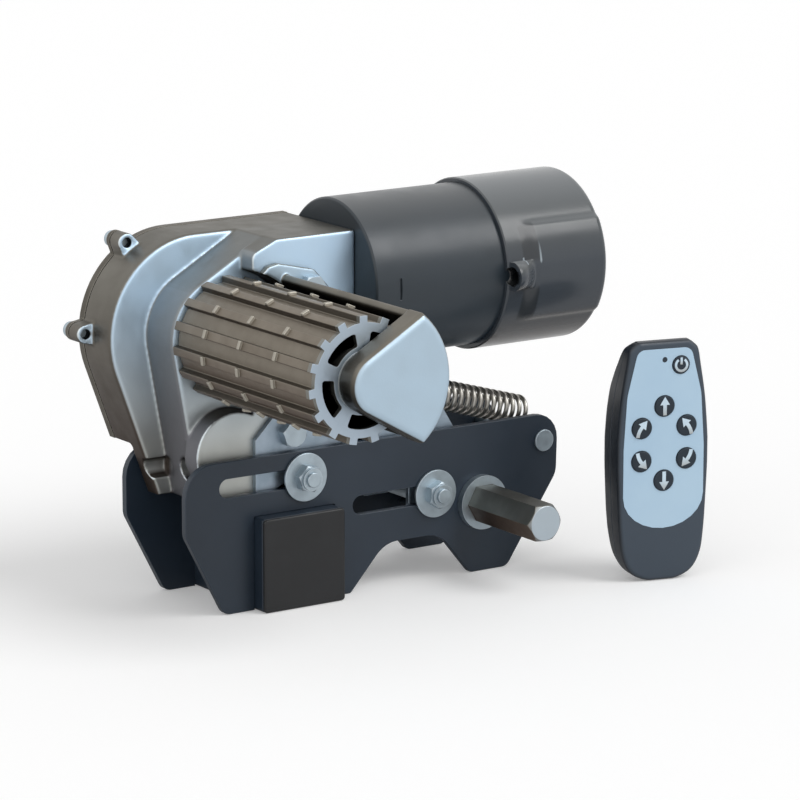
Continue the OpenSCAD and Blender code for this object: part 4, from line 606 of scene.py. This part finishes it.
# %% [markdown]
# A casting has no sharp edge at all, inside or out, because molten metal doesn't fill one. Bevels
# fail where many cast forms run into each other. A voxel remesh doesn't: it wraps the whole piece
# in an even skin of small squares, and smoothing that skin rounds every edge and fills every
# corner. The same skin can be measured. Where a point stands out from its neighbours the surface is
# convex, and where it lies in, it is hollow. Both are stored as attributes for the shader.

# %% Rounded castings
BEND_FROM, BEND_SPAN = 0.02, 0.1


def bend_of(mesh, passes=2):
    """How far each point of an even mesh lies inside its neighbours, by the edge length."""
    count = len(mesh.vertices)
    points = np.empty(count * 3)
    mesh.vertices.foreach_get("co", points)
    points = points.reshape(-1, 3)
    normals = np.empty(count * 3, np.float32)
    mesh.vertex_normals.foreach_get("vector", normals)
    normals = normals.reshape(-1, 3)
    pairs = np.empty(len(mesh.edges) * 2, np.int32)
    mesh.edges.foreach_get("vertices", pairs)
    pairs = pairs.reshape(-1, 2)
    ties = np.bincount(pairs.ravel(), minlength=count)[:, None]

    def mean(values):
        total = np.zeros_like(values)
        np.add.at(total, pairs[:, 0], values[pairs[:, 1]])
        np.add.at(total, pairs[:, 1], values[pairs[:, 0]])
        return total / ties

    step = np.linalg.norm(points[pairs[:, 0]] - points[pairs[:, 1]], axis=1).mean()
    bend = ((mean(points) - points) * normals).sum(1, keepdims=True) / step
    for _ in range(passes):
        bend = (bend + mean(bend)) / 2
    return bend[:, 0]


def cast_skin(node, voxel_mm, smoothing, finish=None):
    skin = [("REMESH", dict(mode="VOXEL", voxel_size=voxel_mm * MM)),
            ("SMOOTH", dict(factor=0.5, iterations=smoothing))]
    mesh = applied(welded(node), skin)
    mesh.shade_smooth()
    bend = bend_of(mesh)
    # convex feeds the castings' painted highlight on edges, and hollow their painted shade
    for name, values in (("convex", -bend), ("hollow", bend)):
        share = np.clip((values - BEND_FROM) / BEND_SPAN, 0, 1)
        made = mesh.attributes.new(name, "FLOAT", "POINT")
        made.data.foreach_set("value", share.astype(np.float32))
    print(node, len(mesh.polygons), "faces, bend up to", bend.max().round(3))
    return piece_from(mesh, node + "_skin", node, finish)


cast_skin("gearbox_housing", 0.75, 4)
cast_skin("roller_bracket", 0.6, 5, finish="bracket_casting")


# %% [markdown]
# Turned and drawn forms are made from rings: a list of rings of points, each joined to the next.
# One function makes them all, and closes the first and the last ring with a face.

# %% Forms made of rings
def lofted(rings):
    """A closed bmesh skin over rings of equal length."""
    shape = bmesh.new()
    rows = [[shape.verts.new(point) for point in ring] for ring in rings]
    count = len(rows[0])
    for low, high in zip(rows, rows[1:]):
        for i in range(count):
            shape.faces.new((low[i], low[(i + 1) % count], high[(i + 1) % count], high[i]))
    shape.faces.new(reversed(rows[0]))
    shape.faces.new(rows[-1])
    bmesh.ops.recalc_face_normals(shape, faces=shape.faces)
    return shape


def smoothly(value):
    """0 below 0, 1 above 1 and a soft curve between."""
    value = min(1.0, max(0.0, value))
    return value * value * (3 - 2 * value)


def shaded(piece, turn):
    """Smooth shading with a crease where two faces turn by more than an angle."""
    piece.data.shade_smooth()
    piece.data.set_sharp_from_angle(angle=math.radians(turn))
    return piece


print("a soft step at a quarter is", smoothly(0.25))


# %% [markdown]
# The motor's end cover is a glossy moulding, and gloss shows every flat and every ripple. So it
# isn't remeshed. Its wall is a formula: a radius for each place along the motor and each angle
# round it. The raised pad and the boss of the cable inlet are soft steps in that radius, which
# gives the fillets that such a moulding has. Near the boss the steps round the wall are finer.

# %% The end cover's sizes
CAN_LOW, CAN_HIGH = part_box("motor_can")
END_LOW, END_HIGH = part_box("motor_end_cover")
motor_axis = (CAN_LOW + CAN_HIGH) / 2
end_r = (END_HIGH.z - END_LOW.z) / 2
can_r = (CAN_HIGH.z - CAN_LOW.z) / 2
inlet = next(m for m in record["mounts"] if m["name"] == "cable_inlet")
inlet_reach = motor_axis.y - inlet["pos_m"][1]
INLET_R = 3.8 * MM
MOUTH_R = 5.1 * MM
BOSS_R = 7.8 * MM
BOSS_START = 1.5 * MM
BOSS_FALL = 3 * MM
BOSS_END = 21 * MM
BOSS_FILLET = 5 * MM
BORE_DEPTH = 7 * MM
PAD_RISE = 1.3 * MM
PAD_HALF = math.radians(33.5)
PAD_SOFT = math.radians(6)
PAD_START = 9.5 * MM
PAD_RAMP = 11.5 * MM
END_ROUND = 4 * MM
end_len = END_HIGH.x - END_LOW.x
print("end cover", round(2 * end_r / MM, 1), "mm across and", round(end_len / MM, 1), "mm long")


# %% [markdown]
# Now the formula itself. A soft step goes from 0 to 1, and two radii are joined by taking the
# larger of them with a fillet where they are close, so the boss runs into the wall as on a real
# moulding.

# %% The shape of its wall
BOSS_STEP = 0.5 * MM
RIM_DROP = 0.6 * MM
RIM_ROUND = 0.8 * MM
TINY = 1e-9  # Keeps soft_max from dividing by nothing


def boss_radius(angle):
    """Distance from the motor's axis to the outside of the boss at an angle, or 0 beside it."""
    inside = BOSS_R ** 2 - (inlet_reach * math.sin(angle)) ** 2
    return inlet_reach * math.cos(angle) + math.sqrt(inside) if inside > 0 else 0.0


def soft_max(a, b, soft):
    """The larger of two values, with a fillet where they are close."""
    blend = max(soft - abs(a - b), 0.0) / soft
    return max(a, b) + blend * blend * soft / 4


def pad_share(along, angle):
    """1 on the raised pad, 0 beside it and a soft step between."""
    aside = smoothly((PAD_HALF + PAD_SOFT / 2 - abs(angle)) / PAD_SOFT)
    return aside * smoothly((along - PAD_START) / PAD_RAMP)


def cover_radius(along, angle):
    """Radius of the cover's wall, where along starts at the rim and angle at the pad's middle."""
    wall = end_r + PAD_RISE * pad_share(along, angle)
    inside = smoothly((along - BOSS_START) / BOSS_STEP)
    inside *= smoothly((BOSS_END - along) / (BOSS_END - BOSS_FALL))
    rise = max(0.0, boss_radius(angle) - end_r) * inside
    if rise > 0:
        wall = soft_max(wall, end_r + rise, BOSS_FILLET * inside + TINY)
    if along > end_len - END_ROUND:
        turn = (along - end_len + END_ROUND) / END_ROUND
        wall -= END_ROUND * (1 - math.sqrt(max(0.0, 1 - turn * turn)))
    return wall - RIM_DROP * (1 - smoothly(along / RIM_ROUND))


print("over the boss the wall reaches", round(cover_radius(6 * MM, 0) / MM, 1), "mm from the axis")


# %% [markdown]
# The wall is sampled in rings, close together where the radius changes fast. The first two rings
# lie inside, where the cover laps over the can, and the last ones make the shallow dish of its end.

# %% The cover's body
LAP = 8 * MM
LAP_GAP = 0.1 * MM
DISH = 0.8 * MM
DISH_SHARE = 0.86
END_STEPS = 8
# Degrees round the motor: half the stretch with fine steps, the fine step and the plain one
FINE_HALF, FINE_STEP, PLAIN_STEP = 14, 0.5, 1.5


def cover_ring(along, angles, radius_at):
    return [(END_LOW.x + along, motor_axis.y - radius_at(a) * math.cos(a),
             motor_axis.z + radius_at(a) * math.sin(a)) for a in angles]


def cover_body():
    lengths = np.concatenate([np.linspace(0, 0.9, 5), np.linspace(1.2, 2.4, 9),
                              np.linspace(3, 22, 36), np.linspace(23, end_len / MM - 9, 12),
                              np.linspace(end_len / MM - 8, end_len / MM - 4.2, 9)]) * MM
    curve = [end_len - END_ROUND + END_ROUND * math.sin(math.pi / 2 * i / END_STEPS)
             for i in range(END_STEPS + 1)]
    angles = np.radians(np.concatenate([np.arange(-180, -FINE_HALF, PLAIN_STEP),
                                        np.arange(-FINE_HALF, FINE_HALF, FINE_STEP),
                                        np.arange(FINE_HALF, 180, PLAIN_STEP)]))
    inner = can_r + LAP_GAP
    rings = [cover_ring(LAP, angles, lambda a: inner), cover_ring(0, angles, lambda a: inner)]
    for along in [*lengths, *curve]:
        rings.append(cover_ring(along, angles, lambda a: cover_radius(along, a)))
    for share in (0.98, 0.9, DISH_SHARE, 0.5, 0.1):
        dish = DISH if share <= DISH_SHARE else 0.0
        rings.append(cover_ring(end_len - dish, angles, lambda a: (end_r - END_ROUND) * share))
    return lofted(rings)


print("the cover laps the can by", round(LAP / MM, 1), "mm")


# %% [markdown]
# The cable goes in through a bore with a funnel at its mouth. It could be modelled face by face,
# but a Boolean modifier takes a turned body away from the moulding and finds the edges by itself.

# %% The inlet's bore
FUNNEL_START = 0.2 * MM
FUNNEL_END = 1.6 * MM
CUT_AHEAD = 1 * MM
BORE_SIDES = 48


def inlet_cutter():
    """The funnel at the mouth and the straight bore behind it, as a body to be taken away."""
    profile = [(-CUT_AHEAD, MOUTH_R), (BOSS_START + FUNNEL_START, MOUTH_R),
               (BOSS_START + FUNNEL_END, INLET_R), (BOSS_START + BORE_DEPTH, INLET_R)]
    turns = [2 * math.pi * i / BORE_SIDES for i in range(BORE_SIDES)]
    rings = [[(END_LOW.x + along, inlet["pos_m"][1] + r * math.cos(turn),
               inlet["pos_m"][2] + r * math.sin(turn)) for turn in turns]
             for along, r in profile]
    mesh = bpy.data.meshes.new("inlet_cutter")
    lofted(rings).to_mesh(mesh)
    cutter = bpy.data.objects.new("inlet_cutter", mesh)
    bpy.context.scene.collection.objects.link(cutter)
    return cutter


print("the bore goes", round(BORE_DEPTH / MM, 1), "mm deep")


# %% [markdown]
# The pad's ramp gets painted shade in its gloss, its crest a painted highlight line, and the bore
# black painted shade. The shader can't know where these lie, so each point of the mesh gets three
# marks that it can read. Angles are measured round the motor from the middle of the pad, in radians.

# %% Marks for the shader, and the finished cover
BAND_CLEAR, BAND_CLEAR_SOFT = 0.11, 0.09
BAND_FADE_IN, BAND_FADE_OUT = 2 * MM, 1.5 * MM
CREST_HALF = 1.1 * MM
CREST_FROM, CREST_FROM_SOFT = 0.09, 0.06
CREST_TO, CREST_TO_SOFT = 0.5, 0.4
FOOT_IN, FOOT_HALF = 1 * MM, 0.8 * MM
FOOT_FROM, FOOT_TO = 0.12, 0.2
BORE_LIP, BORE_SLACK, MOUTH_SLACK = 0.15 * MM, 0.1 * MM, 0.05 * MM


def mark_cover(mesh):
    """Store for the shader where the painted shade on the pad's ramp, the painted highlight at its edge and the
    black painted shade in the inlet's bore go.
    """
    marks = {"ramp": [], "ridge": [], "bore": []}
    for vertex in mesh.vertices:
        along = vertex.co.x - END_LOW.x
        angle = math.atan2(vertex.co.z - motor_axis.z, motor_axis.y - vertex.co.y)
        on_pad = smoothly((PAD_HALF - abs(angle)) / PAD_SOFT + 0.5)
        beside_boss = smoothly((abs(angle) - BAND_CLEAR) / BAND_CLEAR_SOFT)
        marks["ramp"].append(on_pad * beside_boss * smoothly((along - PAD_START) / BAND_FADE_IN)
                             * smoothly((PAD_START + PAD_RAMP - along) / BAND_FADE_OUT))
        crest = 1 - abs(along - PAD_START - PAD_RAMP) / CREST_HALF
        above = (smoothly((angle - CREST_FROM) / CREST_FROM_SOFT)
                 * smoothly((CREST_TO - angle) / CREST_TO_SOFT))
        foot = max(0.0, 1 - abs(along - PAD_START - FOOT_IN) / FOOT_HALF)
        foot *= FOOT_FROM < angle < FOOT_TO
        marks["ridge"].append(on_pad * max(max(0.0, crest) * above, foot))
        from_bore = math.hypot(vertex.co.y - inlet["pos_m"][1], vertex.co.z - inlet["pos_m"][2])
        in_depth = BOSS_START + BORE_LIP < along < BOSS_START + BORE_DEPTH + BORE_SLACK
        marks["bore"].append(float(in_depth and from_bore < MOUTH_R + MOUTH_SLACK))
    for name, values in marks.items():
        made = mesh.attributes.new(name, "FLOAT", "POINT")
        made.data.foreach_set("value", values)


cutter = inlet_cutter()
bore = dict(operation="DIFFERENCE", object=cutter, solver="EXACT")
mesh = applied(cover_body(), [("BOOLEAN", bore)])
bpy.data.objects.remove(cutter)
mark_cover(mesh)
shaded(piece_from(mesh, "motor_end_cover_moulding", "motor_end_cover"), 50)
broken_edges("motor_can", 0.5)
print("the end cover has", len(mesh.polygons), "faces")


# %% [markdown]
# The return spring is one wire: a hook round each post and about twenty turns between. A tube swept
# along a formula gives the wire, and finer steps than the CAD's make it round. When the carriage
# slides, one hook stays on the fixed post and the other travels; the wire made here keeps its rest
# shape and rides on neither body.

# %% The route of the spring's wire
POST_LOW, POST_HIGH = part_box("spring_post")
STUD_LOW, STUD_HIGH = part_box("spring_stud")
COIL_LOW, COIL_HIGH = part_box("return_spring")
fixed = (POST_LOW + POST_HIGH) / 2
moving = (STUD_LOW + STUD_HIGH) / 2
fixed.y = moving.y = (COIL_LOW.y + COIL_HIGH.y) / 2
WIRE_R = 1.25 * MM
TURNS = 20.5
POST_R = 3.5 * MM
TURN_STEPS = 28
LEAD = 8 * MM
HOOK_GAP = 0.3 * MM
HOOK_START = 320
BOW_PULL = 0.62
BOW_STEPS = 11
hook_r = POST_R + WIRE_R + HOOK_GAP
coil_r = (COIL_HIGH.y - COIL_LOW.y) / 2 - WIRE_R


def spring_route():
    """Points of the wire in a frame with x along the spring, y in depth and z square to both."""
    span = (fixed - moving).length
    height = hook_r + coil_r
    hook = [Vector((hook_r * math.cos(math.radians(a)), 0, hook_r * math.sin(math.radians(a))))
            for a in range(HOOK_START, 91, -9)]
    lean = math.radians(360 - HOOK_START)
    start = hook[0] + 2 * WIRE_R * Vector((math.sin(lean), 0, math.cos(lean)))
    bow = [Vector((0, 0, hook_r)), Vector((coil_r * BOW_PULL, 0, hook_r)),
           Vector((LEAD, coil_r, height - coil_r * BOW_PULL)), Vector((LEAD, coil_r, height))]
    bend = [(1 - t) ** 3 * bow[0] + 3 * t * (1 - t) ** 2 * bow[1] + 3 * t * t * (1 - t) * bow[2]
            + t ** 3 * bow[3] for t in (i / BOW_STEPS for i in range(BOW_STEPS))]
    half = [start, *hook, *bend]
    pitch = (span - 2 * LEAD) / TURNS
    coil = [Vector((LEAD + pitch * t, coil_r * math.cos(2 * math.pi * t),
                    height + coil_r * math.sin(2 * math.pi * t)))
            for t in np.linspace(0, TURNS, int(TURNS * TURN_STEPS) + 1)]
    back = [Vector((span - p.x, -p.y, p.z)) for p in reversed(half)]
    return half + coil + back


print("the coil is", round(2 * (coil_r + WIRE_R) / MM, 1), "mm across")


# %% [markdown]
# A ring of points is carried along the route. Turning it as little as possible from one point to
# the next keeps the tube from twisting, and the rings are then lofted like any turned form.

# %% The wire
WIRE_SIDES = 12


def swept(points, radius, sides):
    """Rings of a round tube along points, each turned as little as possible from the last."""
    rings = []
    up = Vector((0, 1, 0))
    for i, point in enumerate(points):
        ahead = (points[min(i + 1, len(points) - 1)] - points[max(i - 1, 0)]).normalized()
        up = (up - ahead * up.dot(ahead)).normalized()
        side = ahead.cross(up)
        rings.append([point + radius * (math.cos(2 * math.pi * k / sides) * up
                                        + math.sin(2 * math.pi * k / sides) * side)
                      for k in range(sides)])
    return rings


along = (fixed - moving).normalized()
square = Vector((0, 1, 0)).cross(along) * -1
route = [moving + along * p.x + Vector((0, 1, 0)) * p.y + square * p.z for p in spring_route()]
spring = bpy.data.meshes.new("return_spring_wire")
wire = lofted(swept(route, WIRE_R, WIRE_SIDES))
wire.to_mesh(spring)
wire.free()
spring.materials.append(materials["spring_steel"])
spring = bpy.data.objects.new("return_spring_wire", spring)
bpy.context.scene.collection.objects.link(spring)
spring.data.shade_smooth()
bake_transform(spring)
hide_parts("return_spring")
print("spring wire", round(sum((b - a).length for a, b in zip(route, route[1:])), 3), "m long")


# %% [markdown]
# The handset stands on its lower end, turned a little from the mover. Its own axes come from the
# direction in which its buttons press. Each shell is a loft: the same outline drawn in step by
# step towards the face or the back, which gives the round edge of a moulding. Between the two
# shells runs a fine groove.

# %% The handset's axes, sizes and outline
press = press_way
across = Vector((0, 0, 1)).cross(press) * -1
shell_points = np.array([v.co for v in frame["nodes"]["handset_front_shell"].data.vertices])
back_points = np.array([v.co for v in frame["nodes"]["handset_back_shell"].data.vertices])
reach_u = shell_points @ np.array(across)
face_d = (shell_points @ np.array(press)).min()
split_d = (shell_points @ np.array(press)).max() - face_d
hand_t = (back_points @ np.array(press)).max() - face_d
middle_u = (reach_u.min() + reach_u.max()) / 2
half_w = (reach_u.max() - reach_u.min()) / 2
hand_h = shell_points[:, 2].max()
FACE_EDGE = 2.4 * MM
BACK_EDGE = 5 * MM
# Half of the outline as shares of the half width and of the height, from the foot to the shoulder
OUTLINE = [(0, 0), (0.34, 0.003), (0.67, 0.036), (0.86, 0.105), (0.93, 0.203), (0.97, 0.341),
           (1, 0.49), (1, 0.585), (0.93, 0.76), (0.82, 0.9), (0.786, 0.942), (0.75, 0.966),
           (0.683, 0.981), (0.58, 0.996), (0.447, 1.0)]
# How deep the back reaches at shares of the height, as a share of the whole depth
BACK_LINE = [(0, 0.37), (0.04, 0.59), (0.1, 0.78), (0.2, 0.95), (0.29, 1), (0.7, 1), (0.8, 0.94),
             (0.87, 0.79), (0.93, 0.6), (0.975, 0.43), (1, 0.28)]
print("handset", [round(v / MM, 1) for v in (2 * half_w, hand_t, hand_h)], "mm")


# %% [markdown]
# Each ring is the outline at one depth. A smooth curve runs through the outline's few points, and
# on the back the depth is scaled so that the shell gets thin towards its top and its foot.

# %% The handset's shells
OUTLINE_STEPS = 6
SEAM_LIP = 2 * MM
SEAM_GROOVE = 0.3 * MM
SEAM_HALF = 0.1 * MM
ROUND_STEPS = 8


def hand_point(u, depth, z):
    """A point from its place across, its depth on the thickest part, and its height."""
    if depth > FACE_EDGE:
        back = hand_t * np.interp(z / hand_h, *zip(*BACK_LINE))
        depth = FACE_EDGE + (depth - FACE_EDGE) * (back - FACE_EDGE) / (hand_t - FACE_EDGE)
    return across * (middle_u + u) + press * (face_d + depth) + Vector((0, 0, z))


def curve_through(points, fine):
    """A smooth closed curve through points, with fine steps between each two."""
    count = len(points)
    made = []
    for i in range(count):
        a, b, c, d = (np.array(points[(i + k - 1) % count]) for k in range(4))
        for t in np.arange(fine) / fine:
            made.append(0.5 * (2 * b + (c - a) * t + (2 * a - 5 * b + 4 * c - d) * t * t
                               + (3 * b - a - 3 * c + d) * t ** 3))
    return made


def hand_ring(inset, depth):
    wide, tall = half_w - inset, hand_h - 2 * inset
    right = [(u * wide, inset + z * tall) for u, z in OUTLINE]
    left = [(-u, z) for u, z in reversed(right[1:])]
    return [hand_point(min(max(u, -wide), wide), depth, min(max(z, inset), inset + tall))
            for u, z in curve_through(right + left, OUTLINE_STEPS)]


def hand_shell(name, node, seam, end, edge):
    """A shell from its seam to its flat end, with a round edge of the given size."""
    way = 1 if end > seam else -1
    rings = [hand_ring(SEAM_LIP, seam), hand_ring(SEAM_GROOVE, seam),
             hand_ring(0, seam + way * SEAM_GROOVE)]
    for i in range(ROUND_STEPS + 1):
        turn = math.pi / 2 * i / ROUND_STEPS
        inset = edge * (1 - math.cos(turn))
        rings.append(hand_ring(inset, end - way * edge * (1 - math.sin(turn))))
    return shaded(piece_from(lofted(rings), name, node), 40)


hand_shell("handset_front_moulding", "handset_front_shell", split_d - SEAM_HALF, 0.0, FACE_EDGE)
hand_shell("handset_back_moulding", "handset_back_shell", split_d + SEAM_HALF, hand_t, BACK_EDGE)
print("the shells meet", round(split_d / MM, 1), "mm behind the face")


# %% [markdown]
# Each key is a low disc of silicone rubber with a soft edge, and its top is very slightly hollow.
# It is turned from a profile of radii and depths, at the place that its CAD node gives.

# %% Keys
KEY_SIDES = 48
KEY_FOOT = 3.0 * MM
KEY_SOFT = 0.7 * MM
KEY_FRONT_SLACK = 0.05 * MM
# How deep the top is hollow at shares of the key's radius
KEY_HOLLOW = [(0.6, 0.1 * MM), (0.2, 0.16 * MM)]


def disc_rings(u, z, profile):
    turns = [2 * math.pi * i / KEY_SIDES for i in range(KEY_SIDES)]
    return [[hand_point(u + r * math.cos(turn), d, z + r * math.sin(turn)) for turn in turns]
            for r, d in profile]


def button_places():
    """The middle, radius and front depth of each button, from the CAD nodes."""
    found = {}
    for node in sorted(n for n in frame["nodes"] if n.startswith("button_")):
        points = np.array([v.co for v in frame["nodes"][node].data.vertices])
        deep = points @ np.array(press) - face_d
        front = points[deep < deep.min() + KEY_FRONT_SLACK]
        wide = front @ np.array(across) - middle_u
        found[node] = (float(wide.mean()), float(front[:, 2].min() + front[:, 2].max()) / 2,
                       float(wide.max() - wide.min()) / 2, float(deep.min()))
    return found


def button(node, u, z, radius, front):
    profile = [(radius, KEY_FOOT), (radius, front + KEY_SOFT)]
    profile += [(radius - KEY_SOFT * (1 - math.cos(t)), front + KEY_SOFT * (1 - math.sin(t)))
                for t in np.linspace(0, math.pi / 2, 6)[1:]]
    profile += [(radius * share, front + deep) for share, deep in KEY_HOLLOW]
    return shaded(piece_from(lofted(disc_rings(u, z, profile)), node + "_key", node), 50)


places = button_places()
print(len(places), "keys found in the CAD model")


# %% [markdown]
# The symbols are generic: straight and curved arrows and the usual power sign. A symbol is a thin
# raised print, made of its own outline. An outline is a stroke of even width along a few points,
# and an arrow is such a stroke with a head at its far end.

# %% Outlines of the symbols
PRINT_SINK = 0.25 * MM
PRINT_RISE = 0.06 * MM
HEAD_SPREAD = 0.62


def raised(outline, u, z, front, name, node):
    """A thin print in the shape of an outline of (across, up) points, a hair proud of its key."""
    rings = [[hand_point(u + x, depth, z + y) for x, y in outline]
             for depth in (front + PRINT_SINK, front - PRINT_RISE)]
    return piece_from(lofted(rings), name, node, finish="symbol_print", hides=False)


def band(points, width):
    """The outline of a stroke along points."""
    left, right = [], []
    for i, point in enumerate(points):
        ahead = points[min(i + 1, len(points) - 1)] - points[max(i - 1, 0)]
        aside = Vector((-ahead.y, ahead.x)).normalized() * width / 2
        left.append(point + aside)
        right.append(point - aside)
    return left + right[::-1]


def arrow(points, width, head):
    """An arrow along points: a stroke and a head at its far end."""
    ahead = (points[-1] - points[-2]).normalized()
    aside = Vector((-ahead.y, ahead.x))
    stroke = band(points, width)
    half = len(stroke) // 2
    end = points[-1]
    tip = [end + aside * head * HEAD_SPREAD, end + ahead * head, end - aside * head * HEAD_SPREAD]
    return stroke[:half] + tip + stroke[half:]


def arc_points(centre, radius, start, stop, count=14):
    return [Vector(centre) + radius * Vector((math.cos(a), math.sin(a)))
            for a in np.radians(np.linspace(start, stop, count))]


def mirrored(points):
    return [Vector((-p.x, p.y)) for p in points]


def flipped(points):
    return [Vector((p.x, -p.y)) for p in points]


print("a straight stroke has", len(band([Vector((0, 0)), Vector((0, 1))], 0.1)), "corners")


# %% [markdown]
# The sizes of a symbol are shares of its key's radius. The four curved arrows are one arrow,
# mirrored and flipped. Each print rides on its own key, so that it goes in with it.

# %% Keys with their symbols
key_r = places["button_forward"][2]
STEM = 0.36 * key_r
HEAD = 0.8 * key_r
# The power sign: its ring, the ring's two ends in degrees, its bar and the width of its stroke
POWER_RING, POWER_FROM, POWER_TO, POWER_POINTS = 0.67, 122, 418, 34
POWER_BAR_LOW, POWER_BAR_HIGH = 0.05, 0.84
POWER_STROKE = 0.27
straight = [Vector((0, y * key_r)) for y in (-0.88, -0.4, 0.12)]
swing_up = arc_points((1.31 * key_r, -1.04 * key_r), 1.77 * key_r, 173.8, 138)
symbols = {
    "button_forward": straight, "button_reverse": flipped(straight),
    "button_forward_left": swing_up, "button_forward_right": mirrored(swing_up),
    "button_reverse_left": flipped(swing_up), "button_reverse_right": flipped(mirrored(swing_up))}
for node, (u, z, radius, front) in places.items():
    button(node, u, z, radius, front)
    if node in symbols:
        raised(arrow(symbols[node], STEM, HEAD), u, z, front, node + "_print", node)
    else:
        ring = arc_points((0, 0), POWER_RING * radius, POWER_FROM, POWER_TO, POWER_POINTS)
        ring_out = band(ring, POWER_STROKE * radius)
        bar = band([Vector((0, POWER_BAR_LOW * radius)), Vector((0, POWER_BAR_HIGH * radius))],
                   POWER_STROKE * radius)
        raised(ring_out, u, z, front, node + "_ring_print", node)
        raised(bar, u, z, front, node + "_bar_print", node)
print(len(symbols) + 1, "buttons with their symbols")


# %% [markdown]
# Every other CAD node keeps its shape and only gets its finish. Most of them sit inside the
# gearbox, the motor or the handset.

# %% Finishes for the nodes that stay
for name, node in frame["nodes"].items():
    for slot in node.material_slots:
        slot.material = materials[slot_of[name]]
stays = [name for name, node in frame["nodes"].items() if not node.hide_render]
print(len(stays), "nodes keep their CAD shape")


# %% [markdown]
# The floor is plain and white. So that it stays white up to the edge of the picture, rays from the
# camera see a little extra light in it, and the mover's shadow still shows.

# %% Floor
FLOOR_REACH = 12.0
FLOOR_GAP = 0.0002
FLOOR_GLOW = 0.2


def floor():
    mesh = bpy.data.meshes.new("floor")
    corners = [(x * FLOOR_REACH, y * FLOOR_REACH, 0)
               for x, y in ((-1, -1), (1, -1), (1, 1), (-1, 1))]
    mesh.from_pydata(corners, [], [(0, 1, 2, 3)])
    made = bpy.data.objects.new("floor", mesh)
    made.location.z = -FLOOR_GAP
    bpy.context.scene.collection.objects.link(made)
    paint = bpy.data.materials.new("white_floor_paint")
    paint.use_nodes = True
    tree = paint.node_tree
    tree.nodes.clear()
    matt = add(tree, "BsdfDiffuse", Color="#f2f2f2")
    seen = add(tree, "LightPath").outputs["Is Camera Ray"]
    extra = add(tree, "Math", operation="MULTIPLY", in0=seen, in1=FLOOR_GLOW).outputs[0]
    glow = add(tree, "Emission", Color="#ffffff", Strength=extra)
    both = add(tree, "AddShader", in0=matt.outputs[0], in1=glow.outputs[0])
    add(tree, "OutputMaterial", Surface=both.outputs[0])
    mesh.materials.append(paint)
    return made


print("floor reaches", floor().dimensions.x / 2, "m each way")


# %% [markdown]
# The light is a soft neutral sky, a large soft sun from the front right and a weak one from the
# left, at a level where colours come out as they are written. The sky shows white to the camera and
# in reflections, so metal and gloss mirror the same white that lies behind the mover.

# %% Sky and suns
def sky():
    world = bpy.data.worlds.new("studio")
    bpy.context.scene.world = world
    world.use_nodes = True
    tree = world.node_tree
    tree.nodes.clear()
    rays = add(tree, "LightPath").outputs
    shown = rays["Is Camera Ray"]
    for kind in ("Is Glossy Ray", "Is Transmission Ray"):
        shown = add(tree, "Math", operation="MAXIMUM", in0=shown, in1=rays[kind]).outputs[0]
    light = add(tree, "Background", Color="#f2f2f2", Strength=0.6)
    white = add(tree, "Background", Color="#ffffff", Strength=1.0)
    both = add(tree, "MixShader", in0=shown, in1=light.outputs[0], in2=white.outputs[0])
    add(tree, "OutputWorld", Surface=both.outputs[0])


def sun(name, strength, spread, heading, height):
    """A soft sun from a heading in degrees, 0 at -Y and 90 at +X, and a height in degrees."""
    lamp = bpy.data.lights.new(name, "SUN")
    lamp.energy = strength
    lamp.angle = math.radians(spread)
    made = bpy.data.objects.new(name, lamp)
    h, e = math.radians(heading), math.radians(height)
    source = Vector((math.sin(h) * math.cos(e), -math.cos(h) * math.cos(e), math.sin(e)))
    made.rotation_euler = (-source).to_track_quat("-Z", "Y").to_euler()
    bpy.context.scene.collection.objects.link(made)


sky()
sun("key", 1.3, 35, 35, 45)
sun("fill", 0.4, 60, -60, 35)
view = bpy.context.scene.view_settings
view.view_transform = "Standard"
print("view transform:", view.view_transform)


# %% [markdown]
